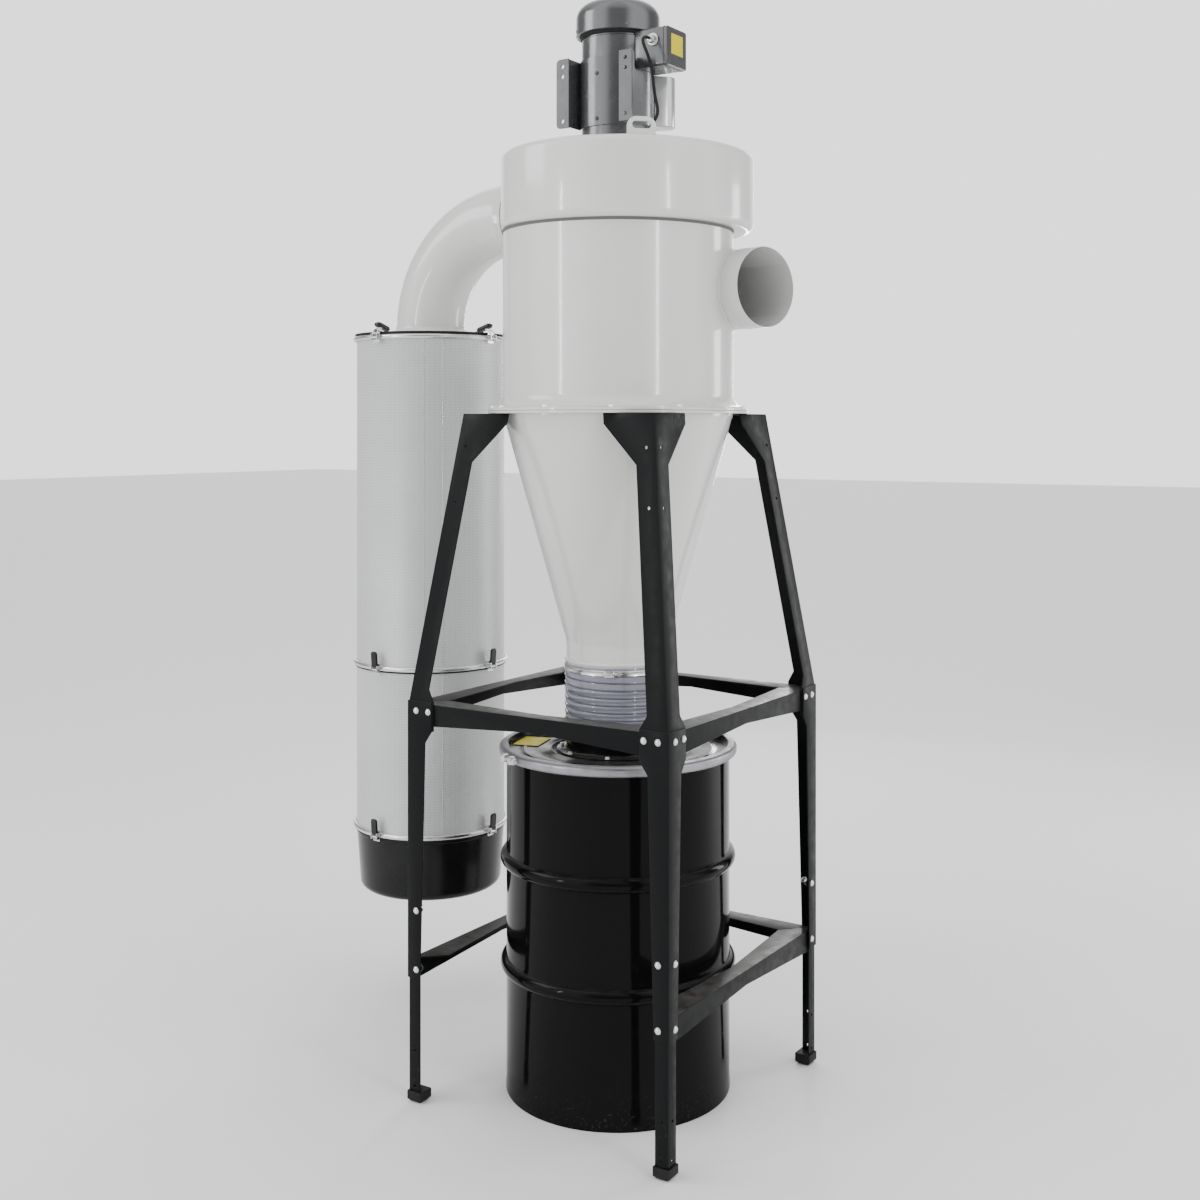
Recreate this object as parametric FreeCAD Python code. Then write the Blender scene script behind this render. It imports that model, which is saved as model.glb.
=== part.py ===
import FreeCAD, Part
import math
import os

V = FreeCAD.Vector
Z_AXIS = V(0, 0, 1)

# Two-stage cyclone dust separator on a bolted stand, in millimetres, +Z up.
# The origin is on the floor under the cyclone's axis. The open side of the
# stand, where the drum slides in, faces -Y.

# Sizes are written once; the block after them works out the places that follow.

# --- stand -----------------------------------------------------------------
STEEL = 3.0                 # sheet thickness of legs and rails
STAND_HALF = 381.0          # axis to the outer face of the lower legs
LEG_TOP_SET = 52.0          # leg's outer face at its top inside the edge of the flange
LEG_TOP_Z = 1721.0          # top of the legs, underside of the cone flange
WING_WIDTH = 142.0          # width of a leg face right at its top
WING_DEPTH = 26.0           # height of the full-width band
WING_TAPER = 96.0           # height over which the wing narrows
UPPER_WIDTH = 55.0          # leg face width between its flared ends
JOINT_Z = 980.0             # bolt line of the middle joint
JOINT_TOP = 24.0            # joint plates above the bolt line
JOINT_BELOW = 48.0          # joint plates below the bolt line
JOINT_WIDTH = 77.0          # leg face width at the middle joint
JOINT_TAPER = 30.0          # height over which a joint plate narrows
LOWER_WIDTH_TOP = 56.0      # lower leg face width below the joint
LOWER_WIDTH_END = 40.0      # lower leg face width at its bottom end
LOWER_END_Z = 311.0         # bottom end of the lower legs
EXTENSION_WIDTH = 35.0      # face width of the sliding leg extensions
EXTENSION_TOP_Z = 503.0     # top of the extensions inside the lower legs
RAIL_END_HEIGHT = 58.0      # rail face height at its ends
RAIL_MID_HEIGHT = 36.0      # rail face height at mid length
RAIL_END_FLANGE = 68.0      # rail top flange width at its ends
RAIL_MID_FLANGE = 42.0      # rail top flange width at mid length
MID_RAIL_ABOVE = 18.0       # top of the middle rails above the joint's bolt line
LOWER_RAIL_ABOVE = 47.0     # top of the lower rails above the end of the lower legs
MITRE_GAP = 1.0             # clearance between two rails at a corner
FOOT_WIDTH = 43.0
FOOT_HEIGHT = 28.0
FOOT_SOLE = 8.0             # rubber under the end of the extension
FOOT_CHAMFER = 7.0
FIT = 0.3                   # clearance between pieces that slip together

# --- drum ------------------------------------------------------------------
DRUM_RADIUS = 287.0
DRUM_WALL = 1.5
DRUM_TOP_Z = 873.0          # top of the drum's rim bead
HOOP_RISE = 15.5            # rolling hoops stand out this far
HOOP_HALF_HEIGHT = 19.0
HOOP_Z = (322.0, 590.0)
RIM_RADIUS = 6.0            # half-round bead outside the drum wall
CHIME_WALL = 1.5            # extra thickness of the foot
CHIME_HEIGHT = 12.0
DRUM_BASE_Z = 16.0          # drum bottom stands clear of the floor inside its chime
LID_THICKNESS = 2.0
LID_RECESS = 15.0           # lid disc below the rim
RING_RISE = 18.5            # closure ring outside the drum wall
RING_WALL = 2.0
RING_HEIGHT = 26.0

# --- hose between drum and cone -------------------------------------------
HOSE_RADIUS = 137.0
HOSE_WALL = 3.0
HOSE_ABOVE_DRUM = 20.0      # lower end of the hose above the drum's rim
HOSE_LOW_SLEEVE = 45.0      # hose on the lid collar
HOSE_HIGH_SLEEVE = 56.0     # hose on the cone's outlet
COLLAR_WALL = 2.5
LID_COLLAR_FLANGE = 24.0    # flange of the lid collar outside its tube
CLAMP_WIDTH = 13.0
CLAMP_WALL = 1.5
LOW_CLAMP_RISE = 19.0       # middle of the lower clamp above the hose's end
HIGH_CLAMP_DROP = 26.0      # middle of the upper clamp below the hose's end

# --- cone and barrel -------------------------------------------------------
SHELL_WALL = 2.5
BARREL_RADIUS = 296.5
BARREL_HEIGHT = 455.0       # above the bolted flanges
FLANGE_WIDTH = 37.5         # flanges outside the barrel wall
FLANGE_THICKNESS = 7.0      # each of the two bolted flanges
FLARE_RADIUS = 32.0         # curve from barrel wall to its flange
CONE_HEIGHT = 582.0         # leg top down to the straight outlet
CONE_OUTLET_LENGTH = 97.0
VORTEX_RADIUS = 112.0       # clean air tube inside the barrel
VORTEX_LENGTH = 390.0       # below the barrel's top

# --- inlet -----------------------------------------------------------------
INLET_RADIUS = 101.6        # outside, an 8 inch duct
INLET_WALL = 2.5
MOUTH_WALL = 1.2            # the mouth is bored out to this wall for the joining duct
MOUTH_LENGTH = 60.0
INLET_DROP = 154.0          # duct axis below the barrel's top
INLET_AZIMUTH = -17.0       # direction in which the duct leaves, in degrees
INLET_CLEAR = 4.4           # duct to the inside of the barrel wall that it runs along
INLET_STICK_OUT = 50.5      # mouth beyond the barrel's radius

# --- blower housing --------------------------------------------------------
HOUSING_HEIGHT = 195.0
SCROLL_START = 200.0        # azimuth where the spiral begins, in degrees
SCROLL_END = 450.0          # azimuth where it runs straight to the outlet
SCROLL_GROWTH = 0.276       # radius gained per degree
SCROLL_STEPS = 10
PLATE = 4.0
OUTLET_STICK_OUT = 38.5     # outlet face beyond the barrel's radius
OUTLET_WIDTH = 216.0
DUCT_RADIUS = 102.5         # outside of the elbow
DUCT_WALL = 2.0
DUCT_SHIFT = 17.5           # duct axis towards the barrel from the outlet's middle
TRANSITION_LENGTH = 90.0
COLLAR_LENGTH = 99.0
ELBOW_RADIUS = 305.0        # centre line
ELBOW_TAIL = 34.0           # straight end of the elbow inside the collar
ELBOW_OVERLAP = 2.0         # bend begins inside the collar
ELBOW_DROP = 20.5           # straight end of the elbow down to the filter lid

# --- filter stack ----------------------------------------------------------
FILTER_RADIUS = 222.0
FILTER_MEDIA = 12.0         # thickness of the filter wall
UPPER_CARTRIDGE = 958.0     # height of the upper cartridge
LOWER_CARTRIDGE = 482.0
BAND_RISE = 9.0             # clamp bands outside the filter
BAND_HEIGHT = 14.0
GASKET_HEIGHT = 8.0
FILTER_LID = 6.0
LID_STUB_HEIGHT = 26.0
PAN_HEIGHT = 189.0
PAN_DRAFT = 13.0            # foot of the pan inside its rim
PAN_CORNER = 24.0
PAN_WALL = 4.0
LATCHES_PER_RING = 4
LATCH_WIDTH = 26.0
LATCH_DEPTH = 15.0
LATCH_HEIGHT = 46.0
LATCH_START = -2.0          # azimuth of the first latch, in degrees

# --- motor -----------------------------------------------------------------
MOTOR_RADIUS = 94.0
BELL_HEIGHT = 70.0          # lower end bell
MOTOR_BODY_HEIGHT = 235.0
FAN_COVER_RISE = 14.5       # fan cover outside the body
FAN_COVER_HEIGHT = 86.0
FAN_COVER_EDGE = 42.0
FAN_CAP_RADIUS = 50.0
FAN_CAP_HEIGHT = 4.0
FOOT_DROP = 20.3            # plane of the feet outside the body
FOOT_HOLE_X = 95.25         # half of 190.5 between foot holes
FOOT_HOLE_RISE = (12.0, 126.3, 151.7)   # foot holes above the end bell
FOOT_HOLE_RADIUS = 5.2
FOOT_CORNER = 12.0
FOOT_MARGIN = 18.75         # foot plate outside its holes
BASE_DROP = 6.0             # base below the top of the end bell
BASE_HEIGHT = 177.0
BASE_FOOT_WIDTH = 38.0
BASE_PLATE = 4.0
BOX_RISE = 82.0             # conduit box cover outside the body
BOX_DEPTH = 14.0            # conduit box into the body's curve
BOX_HALF_WIDTH = 48.0
BOX_HEIGHT = 98.0
BOX_EDGE = 7.0
CAPACITOR_AZIMUTH = 45.0
CAPACITOR_RISE = 57.0       # outermost point of the capacitor cover outside the body
CAPACITOR_WIDTH = 66.0
CAPACITOR_HEIGHT = 130.0
CAPACITOR_START = 7.0       # above the end bell

# --- lifting lugs ----------------------------------------------------------
LUG_WIDTH = 88.0
LUG_BODY_WIDTH = 72.0       # between its flared ends
LUG_HEIGHT = 50.0
LUG_SHOULDER = 24.0         # radius of the upper corners
LUG_PLATE = 6.0
LUG_FOOT = 24.0
LUG_SET = 24.5              # plate inside the barrel's radius
LUG_AZIMUTHS = (-45.0, 135.0)
LUG_SLOT = (47.0, 18.0)     # length and height of the lifting slot

# --- motor cord ------------------------------------------------------------
CORD_DIAMETER = 8.0
GLAND_RADIUS = 16.0
GLAND_FLANGE = 7.0          # thickness of the wide part
GLAND_NECK = 11.0           # radius of the narrow part
# Points of the cord, each as X, Y and height above the housing's top plate.
CORD_ROUTE = [
    (137.0, -68.0, 273.0),
    (137.0, -86.0, 273.0),
    (138.5, -102.0, 264.0),
    (146.0, -110.0, 247.0),
    (157.0, -106.0, 219.0),
    (163.0, -95.0, 185.0),
    (160.0, -86.0, 151.0),
    (163.0, -82.0, 117.0),
    (173.0, -86.0, 90.0),
    (178.0, -97.0, 69.0),
    (174.5, -110.0, 52.0),
    (169.0, -118.0, 36.0),
    (169.0, -118.0, 18.0),
]

# --- places that follow from the sizes -------------------------------------
MID_RAIL_TOP_Z = JOINT_Z + MID_RAIL_ABOVE
LOWER_RAIL_TOP_Z = LOWER_END_Z + LOWER_RAIL_ABOVE
CONE_FLANGE_TOP = LEG_TOP_Z + FLANGE_THICKNESS
BARREL_FLANGE_TOP = CONE_FLANGE_TOP + FLANGE_THICKNESS
BARREL_TOP_Z = BARREL_FLANGE_TOP + BARREL_HEIGHT
BODY_INNER = BARREL_RADIUS - SHELL_WALL
FLANGE_RADIUS = BARREL_RADIUS + FLANGE_WIDTH
LEG_TOP_HALF = FLANGE_RADIUS - LEG_TOP_SET
CONE_NECK_Z = LEG_TOP_Z - CONE_HEIGHT
CONE_OUTLET_Z = CONE_NECK_Z - CONE_OUTLET_LENGTH
COLLAR_RADIUS = HOSE_RADIUS - HOSE_WALL - FIT
HOOP_RADIUS = DRUM_RADIUS + HOOP_RISE
RING_RADIUS = DRUM_RADIUS + RING_RISE
HOSE_BOTTOM_Z = DRUM_TOP_Z + HOSE_ABOVE_DRUM
HOSE_TOP_Z = CONE_OUTLET_Z + HOSE_HIGH_SLEEVE
LID_COLLAR_TOP_Z = HOSE_BOTTOM_Z + HOSE_LOW_SLEEVE
CLAMP_Z = (HOSE_BOTTOM_Z + LOW_CLAMP_RISE, HOSE_TOP_Z - HIGH_CLAMP_DROP)
VORTEX_BOTTOM_Z = BARREL_TOP_Z - VORTEX_LENGTH
INLET_Z = BARREL_TOP_Z - INLET_DROP
INLET_OFFSET = BODY_INNER - INLET_CLEAR - INLET_RADIUS
INLET_REACH = BARREL_RADIUS + INLET_STICK_OUT
HOUSING_TOP_Z = BARREL_TOP_Z + HOUSING_HEIGHT
OUTLET_FACE_X = -BARREL_RADIUS - OUTLET_STICK_OUT
OUTLET_WALL_Y = BARREL_RADIUS + SCROLL_GROWTH * (SCROLL_END - SCROLL_START)
DUCT_Y = OUTLET_WALL_Y - OUTLET_WIDTH / 2.0 - DUCT_SHIFT
DUCT_Z = (BARREL_TOP_Z + HOUSING_TOP_Z) / 2.0
COLLAR_START_X = OUTLET_FACE_X - TRANSITION_LENGTH
COLLAR_END_X = COLLAR_START_X - COLLAR_LENGTH
ELBOW_X = COLLAR_END_X + ELBOW_OVERLAP
FILTER_X = ELBOW_X - ELBOW_RADIUS
LID_TOP_Z = DUCT_Z - ELBOW_RADIUS - ELBOW_DROP
LID_LOW_Z = LID_TOP_Z - FILTER_LID
FILTER_TOP_Z = LID_LOW_Z - GASKET_HEIGHT
FILTER_MID_Z = FILTER_TOP_Z - UPPER_CARTRIDGE
FILTER_LOW_Z = FILTER_MID_Z - LOWER_CARTRIDGE
PAN_BOTTOM_Z = FILTER_LOW_Z - PAN_HEIGHT
PAN_FOOT_RADIUS = FILTER_RADIUS - PAN_DRAFT
BAND_RADIUS = FILTER_RADIUS + BAND_RISE
BELL_TOP_Z = HOUSING_TOP_Z + BELL_HEIGHT
FAN_COVER_Z = BELL_TOP_Z + MOTOR_BODY_HEIGHT
FAN_COVER_RADIUS = MOTOR_RADIUS + FAN_COVER_RISE
MOTOR_TOP_Z = FAN_COVER_Z + FAN_COVER_HEIGHT
SHAFT_HEIGHT = MOTOR_RADIUS + FOOT_DROP
BASE_HALF_WIDTH = FOOT_HOLE_X + FOOT_MARGIN
BASE_BOTTOM_Z = BELL_TOP_Z - BASE_DROP
BASE_TOP_Z = BASE_BOTTOM_Z + BASE_HEIGHT
FOOT_HOLE_Z = [BELL_TOP_Z + rise for rise in FOOT_HOLE_RISE]
BOX_REACH = MOTOR_RADIUS + BOX_RISE
BOX_Z = (FAN_COVER_Z - BOX_HEIGHT, FAN_COVER_Z)
CAPACITOR_REACH = MOTOR_RADIUS + CAPACITOR_RISE
CAPACITOR_Z = (BELL_TOP_Z + CAPACITOR_START, BELL_TOP_Z + CAPACITOR_START + CAPACITOR_HEIGHT)
LUG_DISTANCE = BARREL_RADIUS - LUG_SET
QUARTER_BEND = 1.0 - math.sqrt(0.5)     # share of a radius that the middle of a quarter arc stands in


def save(shape, name):
    shape.exportStep("parts/" + name + ".step")
    box = shape.BoundBox
    print("%-24s solids %2d valid %s vol %.0f cm3  z %.0f..%.0f" % (
        name, len(shape.Solids), shape.isValid(), shape.Volume / 1000.0, box.ZMin, box.ZMax))


def join(shapes):
    """One solid out of pieces that share faces or volume."""
    return shapes[0].fuse(shapes[1:]).removeSplitter()


def group(shapes):
    """Separate solids that share a node."""
    return Part.makeCompound([solid for shape in shapes for solid in shape.Solids])


def block(x0, y0, z0, x1, y1, z1):
    return Part.makeBox(x1 - x0, y1 - y0, z1 - z0, V(x0, y0, z0))


def prism(points, offset):
    """A flat outline, given as 3-D points, pushed along one vector."""
    return Part.Face(Part.makePolygon(points + points[:1])).extrude(offset)


def cylinder(radius, start, end):
    axis = end - start
    return Part.makeCylinder(radius, axis.Length, start, axis)


def tube(outer, wall, start, end):
    return cylinder(outer, start, end).cut(cylinder(outer - wall, start, end))


def ring(inner, outer, low, high, x=0.0, y=0.0):
    return tube(outer, outer - inner, V(x, y, low), V(x, y, high))


def turned(shape, degrees, centre=V(0, 0, 0)):
    copy = shape.copy()
    copy.rotate(centre, Z_AXIS, degrees)
    return copy


def revolved(edges, x=0.0, y=0.0):
    """A closed outline of edges in the XZ plane, turned round a vertical axis."""
    solid = Part.Face(Part.Wire(edges)).revolve(V(0, 0, 0), Z_AXIS, 360)
    solid = Part.makeSolid(solid) if solid.ShapeType == "Shell" else solid
    solid.translate(V(x, y, 0))
    return solid


def outline(points):
    """Edges through (radius, height) points; a 3-tuple point is the middle of an arc."""
    edges = []
    closed = list(points) + [points[0]]
    index = 0
    while index < len(closed) - 1:
        start = V(closed[index][0], 0, closed[index][1])
        if len(closed[index + 1]) == 3:
            middle = V(closed[index + 1][0], 0, closed[index + 1][1])
            end = V(closed[index + 2][0], 0, closed[index + 2][1])
            edges.append(Part.Arc(start, middle, end).toShape())
            index += 2
        else:
            end = V(closed[index + 1][0], 0, closed[index + 1][1])
            edges.append(Part.makeLine(start, end))
            index += 1
    return edges


# --- stand pieces ----------------------------------------------------------

def angle_member(stations, thickness=STEEL):
    """An L-shaped sheet member of the +X +Y corner.

    Each station is (height, distance of the outer faces from the axis, face
    width), from the bottom up. Both faces get the same outline.
    """
    pieces = []
    for low, high in zip(stations, stations[1:]):
        face_x = [V(d, edge, z) for z, d, edge in (
            (low[0], low[1], low[1]), (high[0], high[1], high[1]),
            (high[0], high[1], high[1] - high[2]), (low[0], low[1], low[1] - low[2]))]
        face_y = [V(p.y, p.x, p.z) for p in face_x]
        pieces.append(prism(face_x, V(-thickness, 0, 0)))
        pieces.append(prism(face_y, V(0, -thickness, 0)))
    return join(pieces)


CORNERS = {"back_right": 0.0, "back_left": 90.0, "front_left": 180.0, "front_right": 270.0}
JOINT_HIGH_Z = JOINT_Z + JOINT_TOP
JOINT_LOW_Z = JOINT_Z - JOINT_BELOW


def leg_face(z):
    """Distance from the axis to the outer face of an upper leg at a height."""
    low = STAND_HALF - STEEL
    share = (z - JOINT_HIGH_Z) / (LEG_TOP_Z - JOINT_HIGH_Z)
    return low + (LEG_TOP_HALF - low) * share


def upper_leg():
    narrow_low = JOINT_HIGH_Z + JOINT_TAPER
    wing_low = LEG_TOP_Z - WING_DEPTH
    narrow_high = wing_low - WING_TAPER
    leg = angle_member([
        (JOINT_LOW_Z, STAND_HALF - STEEL, JOINT_WIDTH),
        (JOINT_HIGH_Z, STAND_HALF - STEEL, JOINT_WIDTH),
        (narrow_low, leg_face(narrow_low), UPPER_WIDTH),
        (narrow_high, leg_face(narrow_high), UPPER_WIDTH),
        (wing_low, leg_face(wing_low), WING_WIDTH),
        (LEG_TOP_Z, LEG_TOP_HALF, WING_WIDTH)])
    edge = LEG_TOP_HALF - WING_WIDTH
    tab = prism([V(LEG_TOP_HALF, LEG_TOP_HALF, LEG_TOP_Z), V(edge, LEG_TOP_HALF, LEG_TOP_Z),
                 V(LEG_TOP_HALF, edge, LEG_TOP_Z)], V(0, 0, -STEEL))
    room = Part.makeCylinder(BARREL_RADIUS + STEEL, 2 * WING_DEPTH, V(0, 0, LEG_TOP_Z - WING_DEPTH))
    return join([leg, tab]).cut(room)


def lower_leg():
    return angle_member([
        (LOWER_END_Z, STAND_HALF, LOWER_WIDTH_END),
        (JOINT_LOW_Z - JOINT_TAPER, STAND_HALF, LOWER_WIDTH_TOP),
        (JOINT_LOW_Z, STAND_HALF, JOINT_WIDTH),
        (JOINT_HIGH_Z, STAND_HALF, JOINT_WIDTH)])


def leg_extension(bottom=FOOT_SOLE, grow=0.0):
    face = STAND_HALF - STEEL
    return angle_member([
        (bottom, face + grow, EXTENSION_WIDTH + 2 * grow),
        (EXTENSION_TOP_Z, face + grow, EXTENSION_WIDTH + 2 * grow)], STEEL + 2 * grow)


def foot_cap():
    high = STAND_HALF - STEEL + (FOOT_WIDTH - EXTENSION_WIDTH) / 2.0
    low = high - FOOT_WIDTH
    cap = block(low, low, 0, high, high, FOOT_HEIGHT)
    bottom = [edge for edge in cap.Edges if edge.BoundBox.ZMax < 0.01]
    cap = cap.makeChamfer(FOOT_CHAMFER, bottom)
    return cap.cut(leg_extension(FOOT_SOLE, FIT))


def rail(top_z):
    """A tapered L-shaped rail on the +X side, its top flange turned inwards."""
    face = STAND_HALF - 2 * STEEL
    end = face - MITRE_GAP
    inner_end = face - RAIL_END_FLANGE
    flange = prism([V(face, -end, top_z), V(face, end, top_z),
                    V(inner_end, inner_end - MITRE_GAP, top_z),
                    V(face - RAIL_MID_FLANGE, 0, top_z),
                    V(inner_end, MITRE_GAP - inner_end, top_z)], V(0, 0, -STEEL))
    web_end = end - STEEL
    web = prism([V(face, -web_end, top_z), V(face, web_end, top_z),
                 V(face, web_end, top_z - RAIL_END_HEIGHT),
                 V(face, 0, top_z - RAIL_MID_HEIGHT),
                 V(face, -web_end, top_z - RAIL_END_HEIGHT)], V(-STEEL, 0, 0))
    return join([flange, web])


# --- drum pieces -----------------------------------------------------------

def drum_shell():
    inner = DRUM_RADIUS - DRUM_WALL
    hoop_inner = HOOP_RADIUS - DRUM_WALL
    outer_side = [(DRUM_RADIUS + CHIME_WALL, 0.0), (DRUM_RADIUS + CHIME_WALL, CHIME_HEIGHT),
                  (DRUM_RADIUS, DRUM_BASE_Z)]
    inner_side = [(inner, 0.0)]
    for z in HOOP_Z:
        outer_side += [(DRUM_RADIUS, z - HOOP_HALF_HEIGHT), (HOOP_RADIUS, z, "arc"),
                       (DRUM_RADIUS, z + HOOP_HALF_HEIGHT)]
        inner_side += [(inner, z - HOOP_HALF_HEIGHT), (hoop_inner, z, "arc"),
                       (inner, z + HOOP_HALF_HEIGHT)]
    outer_side += [(DRUM_RADIUS, DRUM_TOP_Z - 2 * RIM_RADIUS),
                   (DRUM_RADIUS + RIM_RADIUS, DRUM_TOP_Z - RIM_RADIUS, "arc"), (DRUM_RADIUS, DRUM_TOP_Z)]
    inner_side += [(inner, DRUM_TOP_Z)]
    return revolved(outline(outer_side + inner_side[::-1]))


def drum_bottom():
    radius = DRUM_RADIUS - DRUM_WALL
    return Part.makeCylinder(radius, LID_THICKNESS, V(0, 0, DRUM_BASE_Z))


def drum_lid():
    inner = DRUM_RADIUS - DRUM_WALL - FIT
    disc_z = DRUM_TOP_Z - LID_RECESS
    top = DRUM_TOP_Z + LID_THICKNESS
    hole = COLLAR_RADIUS - COLLAR_WALL
    return revolved(outline([
        (hole, disc_z), (inner, disc_z), (inner, DRUM_TOP_Z), (DRUM_RADIUS + RIM_RADIUS + FIT, DRUM_TOP_Z),
        (DRUM_RADIUS + RIM_RADIUS + FIT, top), (inner - LID_THICKNESS, top),
        (inner - LID_THICKNESS, disc_z + LID_THICKNESS), (hole, disc_z + LID_THICKNESS)]))


def closure_ring():
    low_lip = DRUM_RADIUS + 2 * FIT + 1.0
    top = DRUM_TOP_Z + LID_THICKNESS + RING_WALL
    low = top - RING_HEIGHT
    wall = RING_RADIUS - RING_WALL
    lip = DRUM_RADIUS - DRUM_WALL
    bend = RING_WALL * QUARTER_BEND
    return revolved(outline([
        (low_lip, low), (wall, low), (RING_RADIUS - bend, low + bend, "arc"), (RING_RADIUS, low + RING_WALL),
        (RING_RADIUS, top - RING_WALL), (RING_RADIUS - bend, top - bend, "arc"), (wall, top),
        (lip, top), (lip, top - RING_WALL), (wall, top - RING_WALL),
        (wall, low + RING_WALL), (low_lip, low + RING_WALL)]))


def lid_collar():
    base = DRUM_TOP_Z - LID_RECESS + LID_THICKNESS
    inner = COLLAR_RADIUS - COLLAR_WALL
    return revolved(outline([
        (inner, base), (COLLAR_RADIUS + LID_COLLAR_FLANGE, base),
        (COLLAR_RADIUS + LID_COLLAR_FLANGE, base + COLLAR_WALL), (COLLAR_RADIUS, base + COLLAR_WALL),
        (COLLAR_RADIUS, LID_COLLAR_TOP_Z), (inner, LID_COLLAR_TOP_Z)]))


def hose_clamps():
    low = HOSE_RADIUS + FIT
    return group([ring(low, low + CLAMP_WALL, z - CLAMP_WIDTH / 2.0, z + CLAMP_WIDTH / 2.0)
                  for z in CLAMP_Z])


# --- cyclone pieces --------------------------------------------------------

def cone():
    inner = COLLAR_RADIUS - SHELL_WALL
    return revolved(outline([
        (COLLAR_RADIUS, CONE_OUTLET_Z), (COLLAR_RADIUS, CONE_NECK_Z), (BARREL_RADIUS, LEG_TOP_Z),
        (BARREL_RADIUS, CONE_FLANGE_TOP), (BODY_INNER, CONE_FLANGE_TOP), (BODY_INNER, LEG_TOP_Z),
        (inner, CONE_NECK_Z), (inner, CONE_OUTLET_Z)]))


def barrel():
    """The barrel wall with its flared foot, open where the inlet duct enters."""
    bend = FLARE_RADIUS * QUARTER_BEND
    inner_flare = FLARE_RADIUS + SHELL_WALL
    inner_bend = inner_flare * QUARTER_BEND
    low = BARREL_FLANGE_TOP + SHELL_WALL
    wall = revolved(outline([
        (BARREL_RADIUS, BARREL_TOP_Z), (BARREL_RADIUS, low + FLARE_RADIUS),
        (BARREL_RADIUS + bend, low + bend, "arc"), (BARREL_RADIUS + FLARE_RADIUS, low),
        (BARREL_RADIUS + FLARE_RADIUS, BARREL_FLANGE_TOP),
        (BODY_INNER + inner_bend, BARREL_FLANGE_TOP + inner_bend, "arc"),
        (BODY_INNER, BARREL_FLANGE_TOP + inner_flare), (BODY_INNER, BARREL_TOP_Z)]))
    return wall.cut(cylinder(INLET_RADIUS + FIT, inlet_point(0.0), inlet_point(INLET_REACH)))


def inlet_point(reach):
    """A point on the duct's axis, this far beyond the foot of its offset."""
    angle = math.radians(INLET_AZIMUTH)
    return V(reach * math.cos(angle) - INLET_OFFSET * math.sin(angle),
             reach * math.sin(angle) + INLET_OFFSET * math.cos(angle), INLET_Z)


def inlet_duct():
    duct = tube(INLET_RADIUS, INLET_WALL, inlet_point(0.0), inlet_point(INLET_REACH))
    mouth = cylinder(INLET_RADIUS - MOUTH_WALL, inlet_point(INLET_REACH - MOUTH_LENGTH),
                     inlet_point(INLET_REACH))
    room = Part.makeCylinder(BODY_INNER, 4 * INLET_RADIUS, V(0, 0, INLET_Z - 2 * INLET_RADIUS))
    return duct.cut([mouth, room])


# --- blower housing --------------------------------------------------------

def scroll_radius(azimuth):
    return BARREL_RADIUS + SCROLL_GROWTH * (azimuth - SCROLL_START)


def scroll_point(azimuth, inset, z):
    radius = scroll_radius(azimuth) - inset
    angle = math.radians(azimuth)
    return V(radius * math.cos(angle), radius * math.sin(angle), z)


def scroll_wire(inset, z):
    """Outline of the housing: spiral, straight run, outlet face and tongue."""
    step = (SCROLL_END - SCROLL_START) / SCROLL_STEPS
    points = [scroll_point(SCROLL_START + step * i, inset, z) for i in range(SCROLL_STEPS + 1)]
    spiral = Part.BSplineCurve()
    spiral.interpolate(points)
    wall_y = scroll_radius(SCROLL_END) - inset
    tongue_y = scroll_radius(SCROLL_END) - OUTLET_WIDTH + inset
    radius = BARREL_RADIUS - inset
    tongue = V(-math.sqrt(radius ** 2 - tongue_y ** 2), tongue_y, z)
    end_angle = math.atan2(tongue.y, tongue.x)
    middle = (math.radians(SCROLL_START) + end_angle) / 2.0
    arc = Part.Arc(tongue, V(radius * math.cos(middle), radius * math.sin(middle), z), points[0])
    return Part.Wire([
        spiral.toShape(),
        Part.makeLine(points[-1], V(OUTLET_FACE_X, wall_y, z)),
        Part.makeLine(V(OUTLET_FACE_X, wall_y, z), V(OUTLET_FACE_X, tongue_y, z)),
        Part.makeLine(V(OUTLET_FACE_X, tongue_y, z), tongue),
        arc.toShape()])


def scroll_slab(inset, low, high):
    return Part.Face(scroll_wire(inset, low)).extrude(V(0, 0, high - low))


def outlet_cut(low, high):
    """The outlet opening through the end face of the housing."""
    wall_y = scroll_radius(SCROLL_END)
    return block(OUTLET_FACE_X - PLATE, wall_y - OUTLET_WIDTH + PLATE, low,
                 OUTLET_FACE_X + 2 * PLATE, wall_y - PLATE, high)


def housing_wrap():
    low = BARREL_TOP_Z + PLATE
    high = HOUSING_TOP_Z - PLATE
    wall = scroll_slab(0.0, low, high).cut(scroll_slab(PLATE, low, high))
    return wall.cut(outlet_cut(low, high))


def housing_bottom_plate():
    plate = scroll_slab(0.0, BARREL_TOP_Z, BARREL_TOP_Z + PLATE)
    return plate.cut(Part.makeCylinder(VORTEX_RADIUS, 4 * PLATE, V(0, 0, BARREL_TOP_Z - PLATE)))


def housing_top_plate():
    return scroll_slab(0.0, HOUSING_TOP_Z - PLATE, HOUSING_TOP_Z)


def vortex_tube():
    return ring(VORTEX_RADIUS - SHELL_WALL, VORTEX_RADIUS, VORTEX_BOTTOM_Z, BARREL_TOP_Z + PLATE)


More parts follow.
